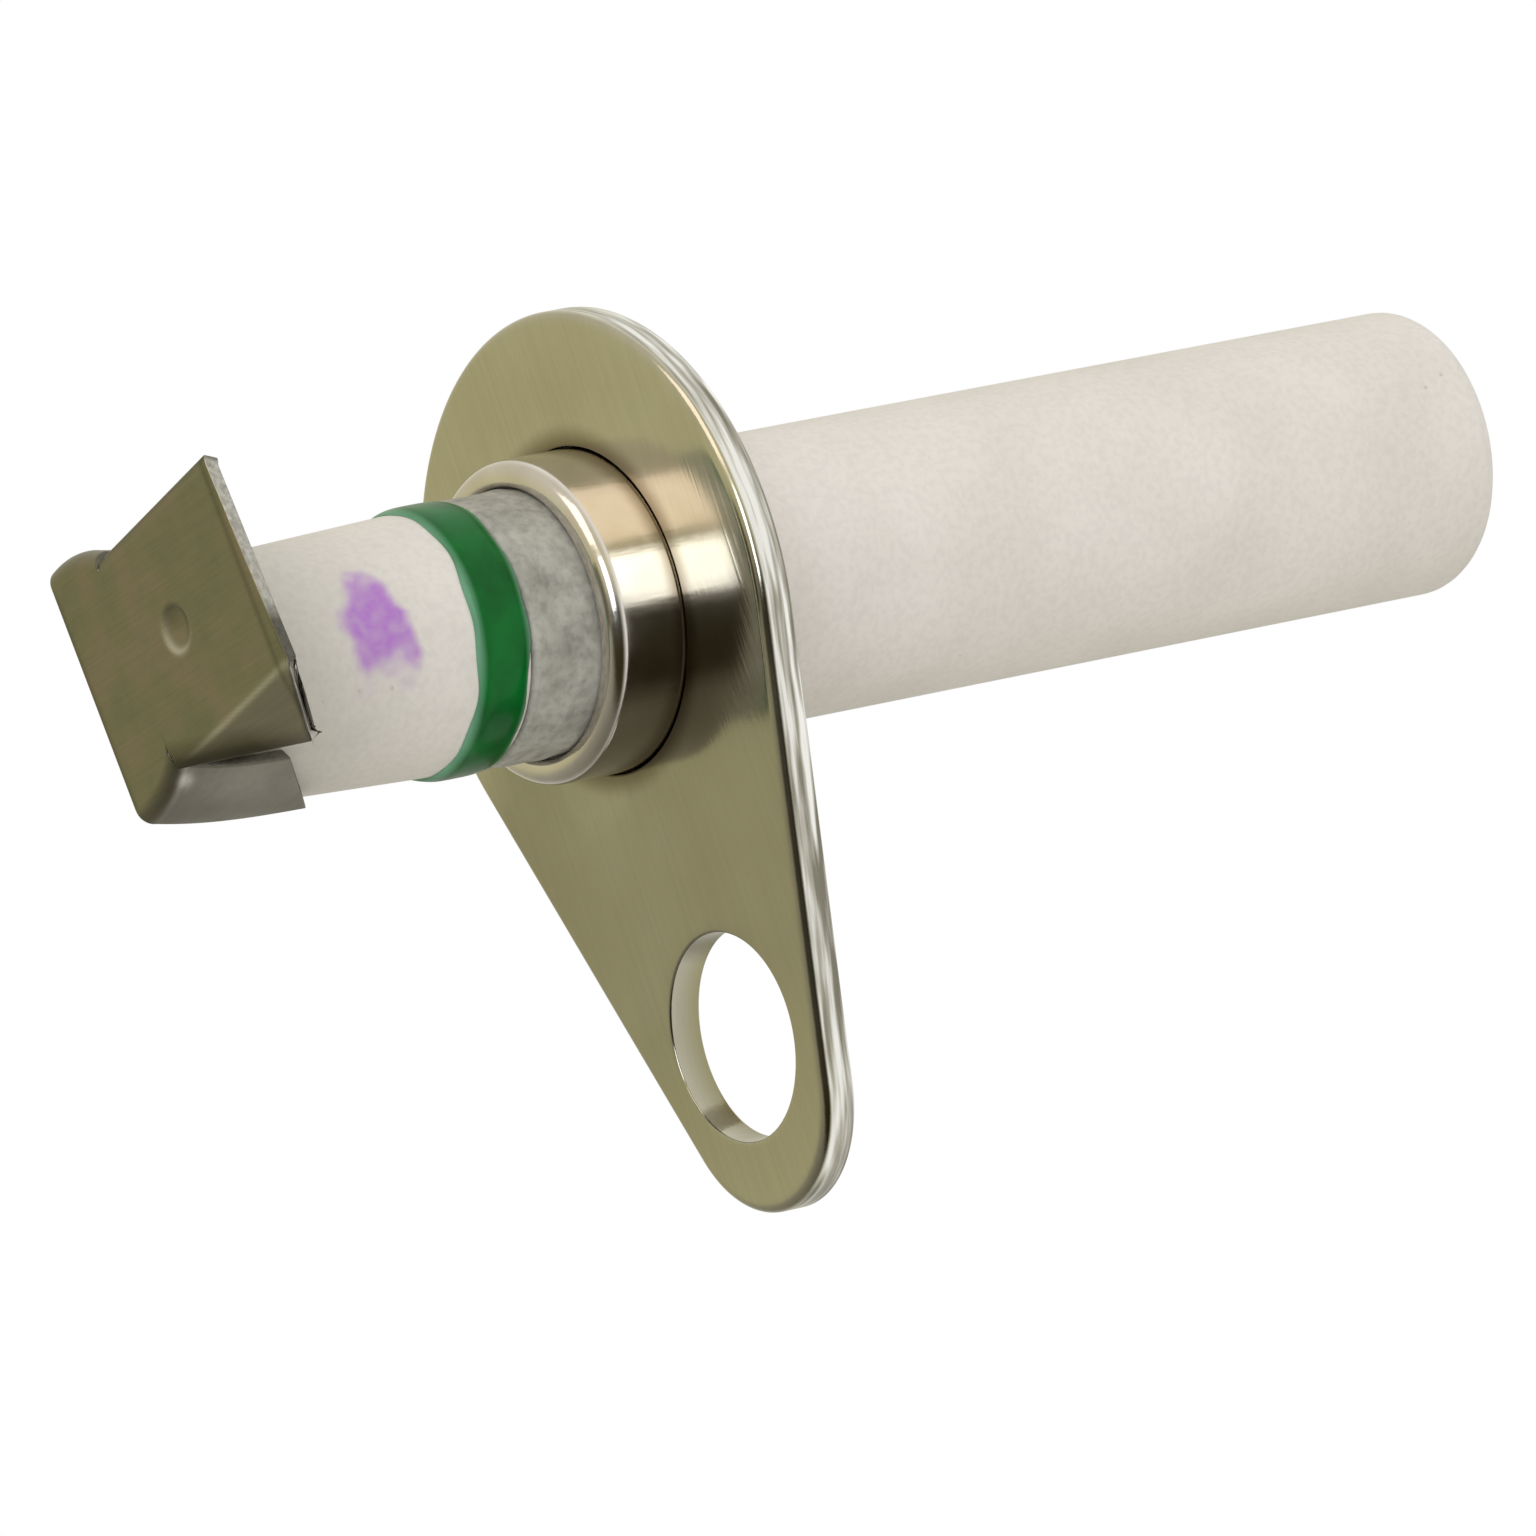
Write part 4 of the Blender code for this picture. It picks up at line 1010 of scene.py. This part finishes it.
# Painted shade under the wing, darkest along its lower edge.
wing_shade = (1.3 * np.clip(1.0 - (flat_n - flat_low) / (1.0 * MM), 0.0, 1.0)
              * np.clip((across + 9.3 * MM) / (2.5 * MM), 0.0, 1.0))
flat_dark_and_shade = np.clip(0.45 * near_line + 0.55 * np.clip(1.0 - rim_gap / (0.3 * MM), 0.0, 1.0)
                    + np.where(on_prong, 0.0, wing_shade), 0.0, 1.0)
low_rim = 0.85 * np.clip((-flat_n - 1.4 * MM) / (0.8 * MM), 0.0, 1.0) * (across < CAP_NEAR + 0.01 * MM)
# Painted shade in the relief nick at the top edge.
nick_shade = 0.8 * ((np.abs(across - wing_root) < 0.3 * MM) & (flat_n > top_edge_n - 0.15 * MM))
flat_dark_and_shade = np.maximum(flat_dark_and_shade, np.maximum(low_rim, nick_shade))
# Painted sheen: the wing, and the prongs from their bends on, are made paler.
wing_sheen = np.clip(below / (0.2 * MM), 0.0, 1.0)
prong_sheen = np.clip(np.linspace(0.0, 1.0, FOLDED_ROWS) * 6.0, 0.0, 1.0) + 0.0 * across
rows_out = np.arange(FOLDED_ROWS)
# Painted highlight: a bright spot on the lower prong where its bend ends.
bend_highlight = np.exp(-((across + 2.0 * MM) / (0.28 * MM)) ** 2 - ((rows_out - BEND_ROWS) / 3.0) ** 2)
# Painted shade: the prongs' near edges, beside the wing.
prong_side_shade = 0.8 * (across < CAP_PRONG_NEAR + 0.05 * MM) + 0.0 * prong_sheen
bare_and_highlight = np.concatenate([bend_highlight[:, ::-1], flat_bare_and_highlight, 0.0 * prong_sheen], axis=1)
painted_sheen = np.concatenate([prong_sheen[:, ::-1], wing_sheen, prong_sheen], axis=1)
dark_and_shade = np.concatenate([prong_side_shade, flat_dark_and_shade, prong_side_shade], axis=1)

# The labels go only to the grid points that a kept quad uses, in the order in which the piece numbers them.
used = np.zeros(cap_mask.shape, bool)
corner = cap_mask[:-1, :-1] & cap_mask[1:, :-1] & cap_mask[:-1, 1:] & cap_mask[1:, 1:]
for rows in (slice(0, -1), slice(1, None)):
    for columns in (slice(0, -1), slice(1, None)):
        used[rows, columns] |= corner
for label, field in (("bare_and_highlight", bare_and_highlight), ("painted_sheen", painted_sheen), ("dark_and_shade", dark_and_shade)):
    set_field(cap.data, label, field[used])

bm = bmesh.new()
bm.from_mesh(cap.data)
bmesh.ops.recalc_face_normals(bm, faces=bm.faces)
front_face = min(bm.faces, key=lambda face: face.calc_center_median().x)
if front_face.normal.x > 0.0:
    bmesh.ops.reverse_faces(bm, faces=bm.faces)
bm.to_mesh(cap.data)
bm.free()
sheet = cap.modifiers.new("Sheet", "SOLIDIFY")
sheet.thickness = CAP_SHEET
sheet.offset = -1.0
sheet.use_even_offset = True
sheet.material_offset_rim = 1
edge = cap.modifiers.new("Deburred edges", "BEVEL")
edge.width = 0.05 * MM
edge.segments = 2
edge.limit_method = "ANGLE"
edge.angle_limit = math.radians(60.0)
edge.use_clamp_overlap = False
edge.miter_outer = "MITER_ARC"
welded = cap.modifiers.new("Welded corners", "WELD")
welded.merge_threshold = 0.0002 * MM
cap.data.shade_smooth()
cap.data.set_sharp_from_angle(angle=math.radians(60.0))

# Heat-tinted stainless: brown-olive straw tints in clouds, redder in places, satin and faintly scratched.
heat_tint, place = new_material("Heat-tinted stainless sheet")
tint = noise(heat_tint, place, 1.9, 4.0)
tint_colour = ramp(heat_tint, tint, [(0.30, 0x82806A), (0.46, 0x8B886F),
                                     (0.60, 0x988C77), (0.74, 0x918E7C)])
# Painted sheen: paler over the wing and the prongs.
sheened = mix(heat_tint, read_field(heat_tint, "painted_sheen"), tint_colour, linear(0x8B867A))
# Bare weld metal and the painted highlights are lightened.
worked_and_highlighted = mix(heat_tint, read_field(heat_tint, "bare_and_highlight"), sheened, linear(0xD2CFC4))
# Darker along the edges, with painted shade under the wing, by the prongs and in the nick.
darkened_and_shaded = mix(heat_tint, read_field(heat_tint, "dark_and_shade"), worked_and_highlighted, linear(0x4F4C3B))
scratches = streaks(heat_tint, place, (0.3, 3.0, 0.12), 3.0, math.radians(25.0))
scratch_tone = ramp(heat_tint, scratches, [(0.3, grey(0.93)), (0.65, grey(1.0))])
tinted = mix(heat_tint, 1.0, darkened_and_shaded, scratch_tone, "MULTIPLY")
cap_haze = ramp(heat_tint, tint, [(0.3, grey(0.34)), (0.7, grey(0.48))])
surface(heat_tint, {"Base Color": tinted, "Roughness": cap_haze, "Normal": bump(heat_tint, scratches, 0.008),
                    "Metallic": 1.0})
finish_piece(cap, heat_tint, "spark_cap")

# The sheared edge is bare steel: brighter than the faces, with the shear's fine lines across the sheet.
sheared, place = new_material("Sheared stainless edge")
shear = noise(sheared, place, 0.2, 3.0)
shear_colour = ramp(sheared, shear, [(0.3, 0x98948A), (0.7, 0xC4C1B8)])
# The rim darkens with the sheet's edges and its painted shade.
rim_colour = mix(sheared, read_field(sheared, "dark_and_shade"), shear_colour, linear(0x403E33))
surface(sheared, {"Base Color": rim_colour, "Normal": bump(sheared, shear, 0.01), "Metallic": 1.0,
                  "Roughness": 0.4})
cap.data.materials.append(sheared)
